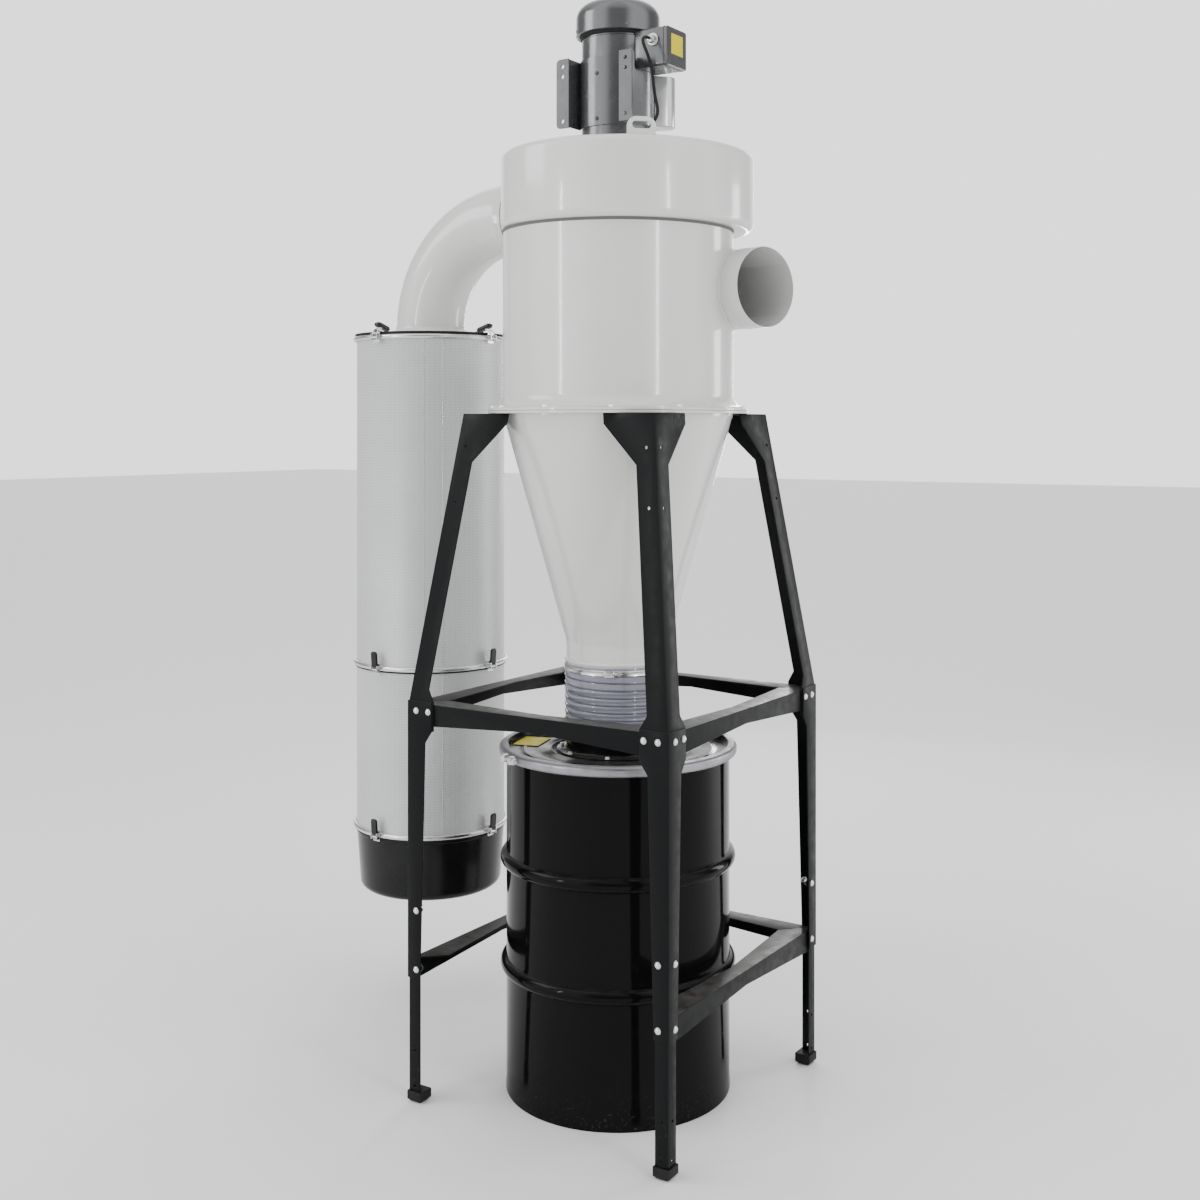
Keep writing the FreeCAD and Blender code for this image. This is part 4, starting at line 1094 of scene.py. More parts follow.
@dataclass
class Stand(Assembly):
    """Bent-sheet legs with sliding extensions, tapered rails, rubber foot caps and their screws."""

    sheet: float = 0.003            # thickness of legs and rails
    edge: float = 0.0009            # radius of the sheets' rounded edges
    joint_height: float = 0.980     # screws of the middle joint
    joint_insets: tuple[float, ...] = (0.028, 0.066)
    low_heights: tuple[float, ...] = (0.334, 0.481)
    low_inset: float = 0.028
    spare_heights: tuple[float, ...] = (0.041, 0.130)
    spare_inset: float = 0.018
    leg_hole_heights: tuple[float, ...] = (1.500, 1.640)
    leg_hole_inset: float = 0.026
    leg_start: float = 1.004        # height where the upper legs begin to lean
    leg_foot: float = 0.378         # axis to an upper leg's outer face there
    leg_head: float = 0.282         # and at its top
    hole_radius: float = 0.0042
    corners: tuple[str, ...] = ("back_right", "back_left", "front_left", "front_right")

    def build(self) -> None:
        """Make the stand's sheets, caps, screws and nuts."""
        for corner in self.corners:
            self.sheet_piece("upper_leg_" + corner, self.leg_holes())
            self.sheet_piece("lower_leg_" + corner, [])
        self.sheet_piece("leg_extensions", self.spare_holes())
        for side in ("right", "back", "left", "front"):
            self.sheet_piece("mid_rail_" + side, [])
            if side != "front":
                self.sheet_piece("lower_rail_" + side, [])
        caps = paint(bevelled("foot_caps", 0.0016, 3), RUBBER_AND_SHADE_BLACK)
        settle(caps, ["foot_caps"])
        self.screws()

    def faces(self, reach: float, inset: float, height: float) -> Places:
        """Find the eight points at a height on the stand's outer faces.

        Args:
            reach: Distance from the axis to the faces.
            inset: Distance of the points in from each corner.
            height: Their height.

        Returns:
            The points with their normals.
        """
        places = []
        for side_x in (-1.0, 1.0):
            for side_y in (-1.0, 1.0):
                places.append((Vector((side_x * reach, side_y * (reach - inset), height)),
                               Vector((side_x, 0.0, 0.0))))
                places.append((Vector((side_x * (reach - inset), side_y * reach, height)),
                               Vector((0.0, side_y, 0.0))))
        return places

    def leg_reach(self, height: float) -> float:
        """Distance from the axis to an upper leg's outer face at a height."""
        share = (height - self.leg_start) / (high("upper_leg_back_right").z - self.leg_start)
        return self.leg_foot + (self.leg_head - self.leg_foot) * share

    def drill(self, places: Iterable[tuple[Vector, Vector]]) -> list[Piece]:
        """Rods that cut a hole at each place."""
        return [rod("drill", spot + normal * 0.01, spot - normal * 0.01, self.hole_radius, 14)
                for spot, normal in places]

    def leg_holes(self) -> list[Piece]:
        """Rods for the holes in the upper legs."""
        return [tool for height in self.leg_hole_heights
                for tool in self.drill(self.faces(self.leg_reach(height), self.leg_hole_inset, height))]

    def spare_holes(self) -> list[Piece]:
        """Rods for the height-setting holes in the extensions."""
        return [tool for height in self.spare_heights
                for tool in self.drill(self.faces(high("leg_extensions").x, self.spare_inset, height))]

    def sheet_piece(self, node: str, drills: list[Piece]) -> None:
        """Make one bevelled sheet with its holes, in place of the frame's node.

        Args:
            node: The frame's node.
            drills: Rods that cut holes; those beside the sheet are thrown away.
        """
        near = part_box(node)
        used = []
        for tool in drills:
            middle = sum((v.co for v in tool.data.vertices), Vector()) / len(tool.data.vertices)
            if all(near[0][i] - 0.01 < middle[i] < near[1][i] + 0.01 for i in range(3)):
                used.append(tool)
            else:
                bpy.data.objects.remove(tool)
        piece = bevelled(node, self.edge)
        if used:
            piece = cut(piece, [merged("drills", used)] if len(used) > 1 else used, 40.0)
        settle(paint(piece, STAND_BLACK), [node])

    def screws(self) -> None:
        """Domed heads outside and hexagon nuts inside at every joint."""
        reach = high("lower_leg_back_right").x
        places = []
        for inset in self.joint_insets:
            places += self.faces(reach, inset, self.joint_height)
        for height in self.low_heights:
            places += self.faces(reach, self.low_inset, height)
        inside = [(spot - normal * 4 * self.sheet, -normal) for spot, normal in places]
        self.repeater.screw("stand_screws", dome_bolt(0.0074, 0.0042, 0.0081, 0.0010), places)
        self.repeater.screw("stand_nuts", hex_bolt(0.0078, 0.0062, 0.0092, 0.0014), inside)


@dataclass
class Drum(Assembly):
    """Steel drum with two rolled hoops, lid, closure ring with its bolt, and a blank label."""

    wall: float = 0.0015
    hoop_half: float = 0.019
    hoop_heights: tuple[float, ...] = (0.322, 0.590)
    body_radius: float = 0.287
    bead: float = 0.006
    lug_azimuth: float = -118.0
    lid_hole: float = 0.128
    lid_ribs: tuple[tuple[float, float], ...] = ((0.246, 0.235), (0.178, 0.168))  # outside and inside radii
    label_size: tuple[float, float] = (0.070, 0.102)
    label_spot: tuple[float, float] = (-0.228, -0.064)

    def build(self) -> None:
        """Make the drum, lid, ring and label."""
        self.shell()
        self.lid()
        self.ring()

    def shell(self) -> None:
        """The drum's wall with rolled hoops, ribs, chime and floor."""
        radius, top = self.body_radius, high("drum_shell").z
        hoop = high("drum_shell").x
        outer: Section = [(radius - 0.006, 0.0), (radius + 0.0015, 0.0008), (radius + 0.0015, 0.012),
                          (radius, 0.016)]
        for height in self.hoop_heights:
            outer += [(radius, height - self.hoop_half - 0.008), (radius + 0.0012, height - self.hoop_half),
                      (hoop, height, "arc"), (radius + 0.0012, height + self.hoop_half),
                      (radius, height + self.hoop_half + 0.008)]
        outer += [(radius, top - 2 * self.bead), (radius + self.bead, top - self.bead, "arc"), (radius, top)]
        inner = radius - self.wall
        floor = low("drum_bottom").z
        outer += [(inner, top), (inner, floor + 0.003), (0.0, floor + 0.003), (0.0, floor),
                  (inner - 0.004, floor)]
        turned("drum_wall", trace(outer, 12), DRUM_BLACK, ["drum_shell", "drum_bottom"])

    def lid(self) -> None:
        """The recessed lid with pressed rings, a flanged collar with screws, and the blank label."""
        inner = self.body_radius - self.wall - 0.0003
        top = high("drum_lid").z
        disc = low("drum_lid").z + 0.002
        rim = high("drum_lid").x
        hole = high("lid_collar").x
        section: Section = [
            (self.lid_hole, disc - 0.002), (inner, disc - 0.002), (inner, top - 0.002), (rim, top - 0.002),
            (rim, top), (inner - 0.002, top), (inner - 0.004, disc + 0.002), (inner - 0.012, disc)]
        for outside, inside in self.lid_ribs:
            section += [(outside, disc), (outside - 0.003, disc + 0.0016), (inside + 0.003, disc + 0.0016),
                        (inside, disc)]
        section.append((self.lid_hole, disc))
        turned("lid_sheet", trace(section), LID_BLACK, ["drum_lid"])
        neck = hole - 0.024
        tube_top = high("lid_collar").z
        collar: Section = [
            (neck - 0.0025, disc), (hole, disc), (hole, disc + 0.002), (hole - 0.001, disc + 0.0025),
            (neck + 0.006, disc + 0.0025), (neck + 0.0018, disc + 0.0043, "arc"), (neck, disc + 0.0085),
            (neck, tube_top - 0.001), (neck - 0.0008, tube_top), (neck - 0.0025, tube_top)]
        turned("lid_neck", trace(collar), LID_BLACK, ["lid_collar"])
        self.repeater.screw("lid_screws", hex_bolt(0.0055, 0.004, 0.0072, 0.001),
                       circle(8, neck + 0.014, disc + 0.0025, 22.5))
        turn = math.degrees(math.atan2(self.label_spot[1], self.label_spot[0]))
        label = plate("lid_label", rectangle(self.label_size, 0.004), 0.0, 0.0005, 0.0001)
        place = spun(Vector((*self.label_spot, disc + 0.0017)), turn)
        settle(paint(moved(label, place), LABEL))

    def ring(self) -> None:
        """The closure ring: a rolled channel, two cast lugs and the bolt across them."""
        outer, top = high("drum_closure_ring").x, high("drum_closure_ring").z
        bottom = low("drum_closure_ring").z
        lip = self.body_radius
        section: Section = [
            (lip + 0.0016, bottom), (outer - 0.009, bottom), (outer - 0.0025, bottom + 0.003, "arc"),
            (outer, bottom + 0.011), (outer, top - 0.011), (outer - 0.0025, top - 0.003, "arc"),
            (outer - 0.009, top), (lip - 0.0015, top), (lip - 0.0015, top - 0.0015),
            (outer - 0.011, top - 0.002), (outer - 0.002, top - 0.011), (outer - 0.002, bottom + 0.011),
            (outer - 0.011, bottom + 0.002), (lip + 0.0016, bottom + 0.0015)]
        turned("closure_band", trace(section), RING_STEEL, ["drum_closure_ring"])
        middle = (top + bottom) / 2.0
        parts = []
        for side in (-1.0, 1.0):
            lug = box_piece("ring_lug", (0.018, 0.014, 0.020), 0.002)
            angle = self.lug_azimuth + side * 3.4
            parts.append(moved(lug, spun(polar(outer + 0.007, angle, middle), angle)))
        ends = [polar(outer + 0.010, self.lug_azimuth + side * 7.0, middle) for side in (-1.0, 1.0)]
        parts.append(rod("ring_bolt_shank", ends[0], ends[1], 0.004, 20))
        axis = (ends[1] - ends[0]).normalized()
        parts.append(moved(hex_bolt(0.0075, 0.005, 0.009, 0.001), aimed(ends[1] - axis * 0.004, axis)))
        settle(paint(merged("closure_bolt", parts), BOLT_STEEL))


@dataclass
class DropHose:
    """Ribbed clear hose between drum and cone with its two worm-drive clamps."""

    pitch: float = 0.0186
    depth: float = 0.0042
    sleeve_share: float = 0.35      # how much of the ribs' depth is left on the sleeves
    rib_rows: int = 10              # rows of faces to a rib
    wire_radius: float = 0.0021
    wall: float = 0.0011
    sleeve_low: float = 0.045
    sleeve_high: float = 0.056
    clamp_heights: tuple[float, ...] = (0.912, 1.072)
    clamp_width: float = 0.013
    end: float = 0.012              # hose beyond the middle of the upper clamp
    screw_azimuth: float = -66.0

    def build(self) -> None:
        """Make the hose wall, its helix and the clamps."""
        radius = high("flex_hose").x
        bottom, top = low("flex_hose").z, self.clamp_heights[1] + self.end
        rows = int((top - bottom) / self.pitch * self.rib_rows)
        outer, inner = [], []
        for step in range(rows + 1):
            height = bottom + (top - bottom) * step / rows
            near_end = height < bottom + self.sleeve_low or height > top - self.sleeve_high
            depth = self.depth * (self.sleeve_share if near_end else 1.0)
            wave = 0.5 - 0.5 * math.cos(2.0 * math.pi * (height - bottom) / self.pitch)
            spot = radius - 0.0006 - depth * wave
            outer.append((spot, height))
            inner.append((spot - self.wall, height))
        hose = paint(lathe("hose_wall", outer + inner[::-1], around=128, sharp=70.0), HOSE_CLEAR)
        settle(hose, ["flex_hose"])
        turns = (top - bottom - 2 * self.wire_radius) / self.pitch
        helix = HoseRib().wind("hose_helix", HOSE_WIRE, Radius=radius - 0.0012, Turns=turns,
                               Height=top - bottom - 2 * self.wire_radius, Wire=self.wire_radius,
                               Base=bottom + self.wire_radius)
        settle(helix)
        self.clamps(radius)

    def clamps(self, radius: float) -> None:
        """Make plain steel bands, each with a screw housing.

        Args:
            radius: Radius of the hose that they go round.
        """
        parts = []
        for height in self.clamp_heights:
            half = self.clamp_width / 2.0
            section = [(radius + 0.0006, height - half), (radius + 0.0014, height - half - 0.0004),
                       (radius + 0.0022, height - half + 0.0006), (radius + 0.0018, height - half + 0.0016),
                       (radius + 0.0018, height + half - 0.0016), (radius + 0.0022, height + half - 0.0006),
                       (radius + 0.0014, height + half + 0.0004), (radius + 0.0006, height + half)]
            parts.append(lathe("clamp_band", section))
            housing = box_piece("clamp_housing", (0.009, 0.026, 0.016), 0.0018)
            spot = polar(radius + 0.006, self.screw_azimuth, height)
            parts.append(moved(housing, spun(spot, self.screw_azimuth)))
            side = polar(1.0, self.screw_azimuth + 90.0, 0.0)
            parts.append(rod("clamp_screw", spot + side * 0.010, spot + side * 0.021, 0.0042, 18))
        settle(paint(merged("clamps", parts), CLAMP_STEEL), ["hose_clamps"])


@dataclass
class Cyclone(Assembly):
    """Cone, bolted flanges, barrel with its tangential inlet, and the clean air tube inside."""

    wall: float = 0.0025
    barrel_radius: float = 0.2965
    flare: float = 0.032
    inlet_azimuth: float = -17.0
    inlet_radius: float = 0.1016
    inlet_offset: float = 0.188
    inlet_wall: float = 0.002
    bead: float = 0.0035
    flange_bolts: int = 12
    leg_half: float = 20.0          # degrees to each side of a corner that the legs' tops cover
    lip: float = 1.0925             # height of the rolled lip that stops the hose
    outlet_length: float = 0.097
    hose_wall: float = 0.0033       # the hose's outside beyond the outlet
    duct_rows: tuple[float, ...] = (0.0615, 0.0600, 0.0585, 0.003, 0.0008, 0.0)  # back from the mouth
    duct_swell: tuple[float, ...] = (0.0, 0.0006, 0.0, 0.0, -0.0002, -0.0012)    # and how far they stand out

    def build(self) -> None:
        """Make the cyclone's shells and the screws of its flanges."""
        self.cone()
        self.flanges()
        self.barrel()
        self.inlet()
        self.air_tube()

    def air_tube(self) -> None:
        """The clean air tube, seen through the inlet."""
        lo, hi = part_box("vortex_tube")
        section = [(hi.x - self.wall, lo.z), (hi.x, lo.z), (hi.x, hi.z), (hi.x - self.wall, hi.z)]
        settle(paint(lathe("clean_air_tube", section, around=96), WHITE), ["vortex_tube"])

    def cone(self) -> None:
        """The cone with its straight outlet and a rolled bead where they meet."""
        top, bottom = high("cone").z, low("cone").z
        neck = bottom + self.outlet_length
        outlet = high("flex_hose").x - self.hose_wall
        shoulder = top - 0.007
        radius = self.barrel_radius
        section: Section = [
            (outlet, bottom), (outlet, self.lip - 0.006), (outlet + 0.0052, self.lip, "arc"),
            (outlet, self.lip + 0.006), (outlet, neck - 0.012), (outlet + 0.0006, neck, "arc"),
            (outlet + 0.004, neck + 0.012), (radius - 0.004, shoulder - 0.014),
            (radius - 0.0008, shoulder - 0.006, "arc"), (radius, shoulder), (radius, top),
            (radius - self.wall, top), (radius - self.wall, shoulder), (outlet - self.wall, neck),
            (outlet - self.wall, bottom)]
        turned("cone_shell", trace(section), WHITE, ["cone"])

    def flanges(self) -> None:
        """Two flange rings with softened edges, a thin gasket between, and their bolts and nuts."""
        for name, node in (("lower_flange", "cone_flange"), ("upper_flange", "barrel_flange")):
            lo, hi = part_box(node)
            under, over = lo.z + 0.0004, hi.z - 0.0002
            section = soften([(self.barrel_radius, under), (hi.x, under), (hi.x, over),
                              (self.barrel_radius, over)], 0.0016)
            turned(name, section, WHITE, [node])
        radius = high("cone_flange").x
        middle = high("cone_flange").z
        seal = [(self.barrel_radius, middle - 0.0007), (radius - 0.0014, middle - 0.0007),
                (radius - 0.0014, middle + 0.0007), (self.barrel_radius, middle + 0.0007)]
        turned("flange_gasket", seal, RUBBER_AND_SHADE_BLACK)
        bolts, step = self.flange_bolts, 360.0 / self.flange_bolts
        tops = circle(bolts, radius - 0.010, high("barrel_flange").z)
        self.repeater.screw("flange_screws", hex_bolt(0.0064, 0.0052, 0.0078, 0.0012), tops)
        under = circle(bolts, radius - 0.010, low("cone_flange").z, aim=-UP)
        clear = [place for i, place in enumerate(under) if abs((step * i) % 90.0 - 45.0) >= self.leg_half]
        self.repeater.screw("flange_nuts", hex_bolt(0.0062, 0.005, 0.0076, 0.0012), clear)

    def barrel(self) -> None:
        """The barrel's wall with its flared foot and the hole where the inlet enters."""
        foot, top = low("barrel").z, high("barrel").z
        radius, inner = self.barrel_radius, self.barrel_radius - self.wall
        lift, inside = foot + self.wall, self.flare + self.wall
        section: Section = [
            (radius, top), (radius, lift + self.flare),
            (radius + self.flare * HALF_ARC, lift + self.flare * HALF_ARC, "arc"),
            (radius + self.flare, lift), (radius + self.flare, foot),
            (inner + inside * HALF_ARC, foot + inside * HALF_ARC, "arc"), (inner, foot + inside),
            (inner, top)]
        shell = lathe("barrel_shell", trace(section, 10))
        hole = rod("inlet_hole", self.inlet_point(0.12, 0.0, 0.0), self.inlet_point(0.36, 0.0, 0.0),
                   self.inlet_radius - self.inlet_wall / 2.0, 96)
        settle(paint(cut(shell, [hole]), WHITE), ["barrel"])
        # painted shade: a grey band at the barrel's top standing for the shadow gap under the blower
        # housing's lip
        band = [(radius - 0.002, top - 0.0072), (radius + 0.0003, top - 0.0072),
                (radius + 0.0024, top - 0.0015), (radius + 0.0024, top + 0.0005),
                (radius - 0.002, top + 0.0005)]
        turned("housing_gasket", band, JOINT_SHADE_GREY)

    def inlet_height(self) -> float:
        """Height of the inlet's axis."""
        return (low("inlet_duct").z + high("inlet_duct").z) / 2.0

    def inlet_point(self, reach: float, across: float, rise: float) -> Vector:
        """Find a point beside the inlet's axis.

        Args:
            reach: Distance along the axis from its foot.
            across: Distance to the side of it.
            rise: Distance above it.

        Returns:
            The point.
        """
        angle = math.radians(self.inlet_azimuth)
        along = Vector((math.cos(angle), math.sin(angle), 0.0))
        side = Vector((-math.sin(angle), math.cos(angle), 0.0))
        return along * reach + side * (self.inlet_offset + across) + UP * (self.inlet_height() + rise)

    def mouth_reach(self) -> float:
        """Find how far along its axis the inlet's mouth is.

        Returns:
            The distance from the axis's foot.
        """
        angle = math.radians(self.inlet_azimuth)
        side_x = -math.sin(angle) * (self.inlet_offset + self.inlet_radius)
        return (high("inlet_duct").x - side_x) / math.cos(angle)

    def meet(self, radius: float, tube_radius: float, turn: float) -> float:
        """Find where a line of the duct meets a cylinder round the barrel's axis.

        Args:
            radius: Radius of the cylinder.
            tube_radius: The line's distance from the duct's axis.
            turn: Its angle round the duct's axis.

        Returns:
            The distance along the duct's axis.
        """
        across = self.inlet_offset + tube_radius * math.cos(turn)
        return math.sqrt(max(radius ** 2 - across ** 2, 0.0))

    def duct_ring(self, around: int, radius: float, cut_radius: float, root: float, share: float,
                  end: float) -> list[Vector]:
        """Points once round the inlet duct.

        Args:
            around: Number of points.
            radius: Their distance from the duct's axis.
            cut_radius: Radius at which the duct is cut to the barrel.
            root: Radius of the cylinder that it is cut to.
            share: Where the points are, from the cut (0) to the end (1).
            end: How far the end is along the duct's axis.

        Returns:
            The points.
        """
        ring = []
        for step in range(around):
            turn = 2.0 * math.pi * step / around
            start = self.meet(root, cut_radius, turn)
            ring.append(self.inlet_point(start + (end - start) * share, radius * math.cos(turn),
                                         radius * math.sin(turn)))
        return ring

    def inlet(self) -> None:
        """The duct from the barrel to its mouth, with a seam ring, a rolled lip and a weld bead."""
        around = 128
        mouth = self.mouth_reach()
        root = self.barrel_radius - self.wall
        outer, inner = self.inlet_radius - 0.0004, self.inlet_radius - self.inlet_wall
        verts = []
        for share in (0.0, 0.33, 0.66):
            verts += self.duct_ring(around, outer, self.inlet_radius, root, share, mouth - self.duct_rows[0])
        for back, swell in zip(self.duct_rows, self.duct_swell):
            verts += self.duct_ring(around, outer + swell, self.inlet_radius, root, 1.0, mouth - back)
        for share in (1.0, 0.0):
            verts += self.duct_ring(around, inner, inner, root, share, mouth)
        duct = finish_mesh("inlet_tube", verts, skin(len(verts) // around, around))
        settle(paint(duct, WHITE), ["inlet_duct"])
        spot = self.inlet_radius + 0.0006
        line = self.duct_ring(around, spot, spot, self.barrel_radius + 0.0006, 0.0, mouth)
        weld = wire("inlet_weld", line, self.bead, closed=True)
        settle(paint(weld, WHITE))


@dataclass
class Blower(Assembly):
    """Scroll housing with rounded edges, its outlet, the collar and the elbow to the filter."""

    radius: float = 0.2965
    spiral_start: float = 200.0
    spiral_end: float = 450.0
    growth: float = 0.000276
    edge: float = 0.020
    outlet_width: float = 0.216
    duct_wall: float = 0.002
    bend_radius: float = 0.305
    root: float = 0.026             # how far the outlet starts inside the housing's rounded face
    plate_radius: float = 0.150     # round plate under the motor
    plate_hole: float = 0.030
    plate_thickness: float = 0.003

    def build(self) -> None:
        """Make the housing, the outlet and the elbow."""
        self.housing()
        self.motor_plate()
        self.transition()
        self.elbow()
        lugs = paint(bevelled("lifting_lugs", 0.0012, 3), WHITE)
        settle(lugs, ["lifting_lugs"])

    def plan(self) -> Outline:
        """Draw the housing's outline: spiral, straight run, outlet face and tongue.

        Returns:
            The outline.
        """
        steps, back_steps = 110, 24
        points = []
        for step in range(steps + 1):
            azimuth = self.spiral_start + (self.spiral_end - self.spiral_start) * step / steps
            spot = polar(self.radius + self.growth * (azimuth - self.spiral_start), azimuth, 0.0)
            points.append((spot.x, spot.y))
        face = low("housing_wrap").x
        wall = points[-1][1]
        tongue = wall - self.outlet_width
        points += [(face * share, wall) for share in (0.25, 0.5, 0.75, 0.985)]
        points += [(face, wall - 0.006), (face, tongue + 0.004)]
        tip = -math.sqrt(self.radius ** 2 - tongue ** 2)
        points += [(face + 0.004, tongue), (tip - 0.012, tongue)]
        first = math.degrees(math.atan2(tongue, tip))
        for step in range(1, back_steps):
            spot = polar(self.radius, first + (self.spiral_start - first) * step / back_steps, 0.0)
            points.append((spot.x, spot.y))
        return points

    def housing(self) -> None:
        """One rounded shell from the housing's outline."""
        points = self.plan()
        count = len(points)
        bottom, top = low("housing_bottom_plate").z, high("housing_top_plate").z
        normals = []
        for index in range(count):
            ahead = Vector(points[(index + 1) % count]) - Vector(points[index - 1])
            normals.append(Vector((ahead.y, -ahead.x)).normalized())
        steps = 7
        arc = [(1.0 - math.sin(angle), 1.0 - math.cos(angle))
               for angle in (math.pi / 2.0 * step / steps for step in range(steps + 1))]
        rows = [(self.edge + 0.05, bottom)]
        rows += [(self.edge * inset, bottom + self.edge * rise) for inset, rise in arc]
        rows += [(self.edge * rise, top - self.edge * inset) for inset, rise in arc]
        rows.append((self.edge + 0.05, top))
        verts = []
        for inset, height in rows:
            for point, normal in zip(points, normals):
                spot = Vector(point) - normal * inset
                verts.append((spot.x, spot.y, height))
        last = (len(rows) - 1) * count
        faces = skin(len(rows), count, False)
        faces += [tuple(range(count))[::-1], tuple(last + i for i in range(count))]
        shell = finish_mesh("blower_housing", verts, faces, 32.0)
        settle(paint(shell, WHITE),
               ["housing_bottom_plate", "housing_wrap", "housing_top_plate"])

    def motor_plate(self) -> None:
        """The round plate under the motor with its ring of screws."""
        top = high("housing_top_plate").z
        level = top + self.plate_thickness
        disc = soften([(0.0, top), (self.plate_radius, top), (self.plate_radius, level), (0.0, level)], 0.001)
        rim = [point for point in disc if point[0] > self.plate_hole + 0.02]
        turned("motor_plate", [(self.plate_hole, top), *rim, (self.plate_hole, level)], WHITE)
        places = circle(8, self.plate_radius - 0.016, level, 22.5)
        self.repeater.screw("motor_plate_screws", hex_bolt(0.0065, 0.0052, 0.008, 0.0014), places)

    def transition(self) -> None:
        """The square-to-round outlet, then the round collar with a rolled bead."""
        lo = low("outlet_transition")
        collar_lo, collar_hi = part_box("outlet_collar")
        face = low("housing_wrap").x
        wall = max(point[1] for point in self.plan())
        bottom, top = low("housing_bottom_plate").z, high("housing_top_plate").z
        centre_y, centre_z = wall - self.outlet_width / 2.0, (bottom + top) / 2.0
        half_y, half_z = self.outlet_width / 2.0 - 0.003, (top - bottom) / 2.0 - 0.003
        duct_y, duct_z = (collar_lo.y + collar_hi.y) / 2.0, (collar_lo.z + collar_hi.z) / 2.0
        radius = (collar_hi.y - collar_lo.y) / 2.0
        around, steps = 96, 14
        power = 2.0 / 9.0               # of the superellipse that is nearly square
        verts = []
        for row in range(-1, steps + 1):
            share = max(row / steps, 0.0)
            ease = share * share * (3.0 - 2.0 * share)
            x = face + self.root if row < 0 else face + (lo.x - face) * share
            for step in range(around):
                turn = 2.0 * math.pi * (step + 0.5) / around
                cos, sin = math.cos(turn), math.sin(turn)
                square_y = math.copysign(abs(cos) ** power, cos) * half_y
                square_z = math.copysign(abs(sin) ** power, sin) * half_z
                verts.append((x, (centre_y + square_y) * (1 - ease) + (duct_y + radius * cos) * ease,
                              (centre_z + square_z) * (1 - ease) + (duct_z + radius * sin) * ease))
        outlet = finish_mesh("outlet_cone", verts, skin(steps + 2, around, False), 50.0)
        settle(paint(outlet, WHITE), ["outlet_transition"])
        length = collar_hi.x - collar_lo.x
        section = [
            (radius - self.duct_wall, 0.0), (radius, 0.0), (radius, length - 0.016),
            (radius + 0.0016, length - 0.012), (radius + 0.0016, length - 0.008), (radius, length - 0.004),
            (radius, length - 0.0006), (radius - 0.0012, length), (radius - self.duct_wall, length)]
        collar = moved(lathe("outlet_ring", section), lying(Vector((collar_hi.x, duct_y, duct_z))))
        settle(paint(collar, WHITE), ["outlet_collar"])

    def elbow(self) -> None:
        """A smooth quarter bend with straight tails, hollow."""
        lo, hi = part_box("elbow")
        duct_y = (lo.y + hi.y) / 2.0
        radius = (hi.y - lo.y) / 2.0 - 0.0002
        top = hi.z - radius
        foot_x = lo.x + radius
        corner = Vector((foot_x + self.bend_radius, duct_y, top - self.bend_radius))
        stations = [(Vector((hi.x, duct_y, top)), 0.0)]
        bends = 72                      # steps round the bend
        for step in range(bends + 1):
            angle = math.pi / 2.0 * step / bends
            spot = corner + Vector((-math.sin(angle), 0.0, math.cos(angle))) * self.bend_radius
            stations.append((spot, angle))
        stations.append((Vector((foot_x, duct_y, lo.z)), math.pi / 2.0))
        around = 112
        verts = []
        for wall in (0.0, self.duct_wall):
            ordered = stations if wall == 0.0 else stations[::-1]
            for spot, angle in ordered:
                out = Vector((-math.sin(angle), 0.0, math.cos(angle)))
                for step in range(around):
                    turn = 2.0 * math.pi * step / around
                    offset = out * math.cos(turn) + Vector((0.0, 1.0, 0.0)) * math.sin(turn)
                    verts.append(spot + offset * (radius - wall))
        bend = finish_mesh("elbow_tube", verts, skin(2 * len(stations), around))
        settle(paint(bend, WHITE), ["elbow"])
        # painted shade: a grey ring standing for the shade line of the seam where the elbow's straight tail
        # begins
        inside, outside, width = radius - 0.001, radius + 0.003, 0.0024
        section = [(inside, 0.0), (outside, 0.0), (outside, width), (inside, width)]
        seam = moved(lathe("elbow_joint", section), lying(Vector((hi.x + width / 2.0, duct_y, top))))
        settle(paint(seam, JOINT_SHADE_GREY))


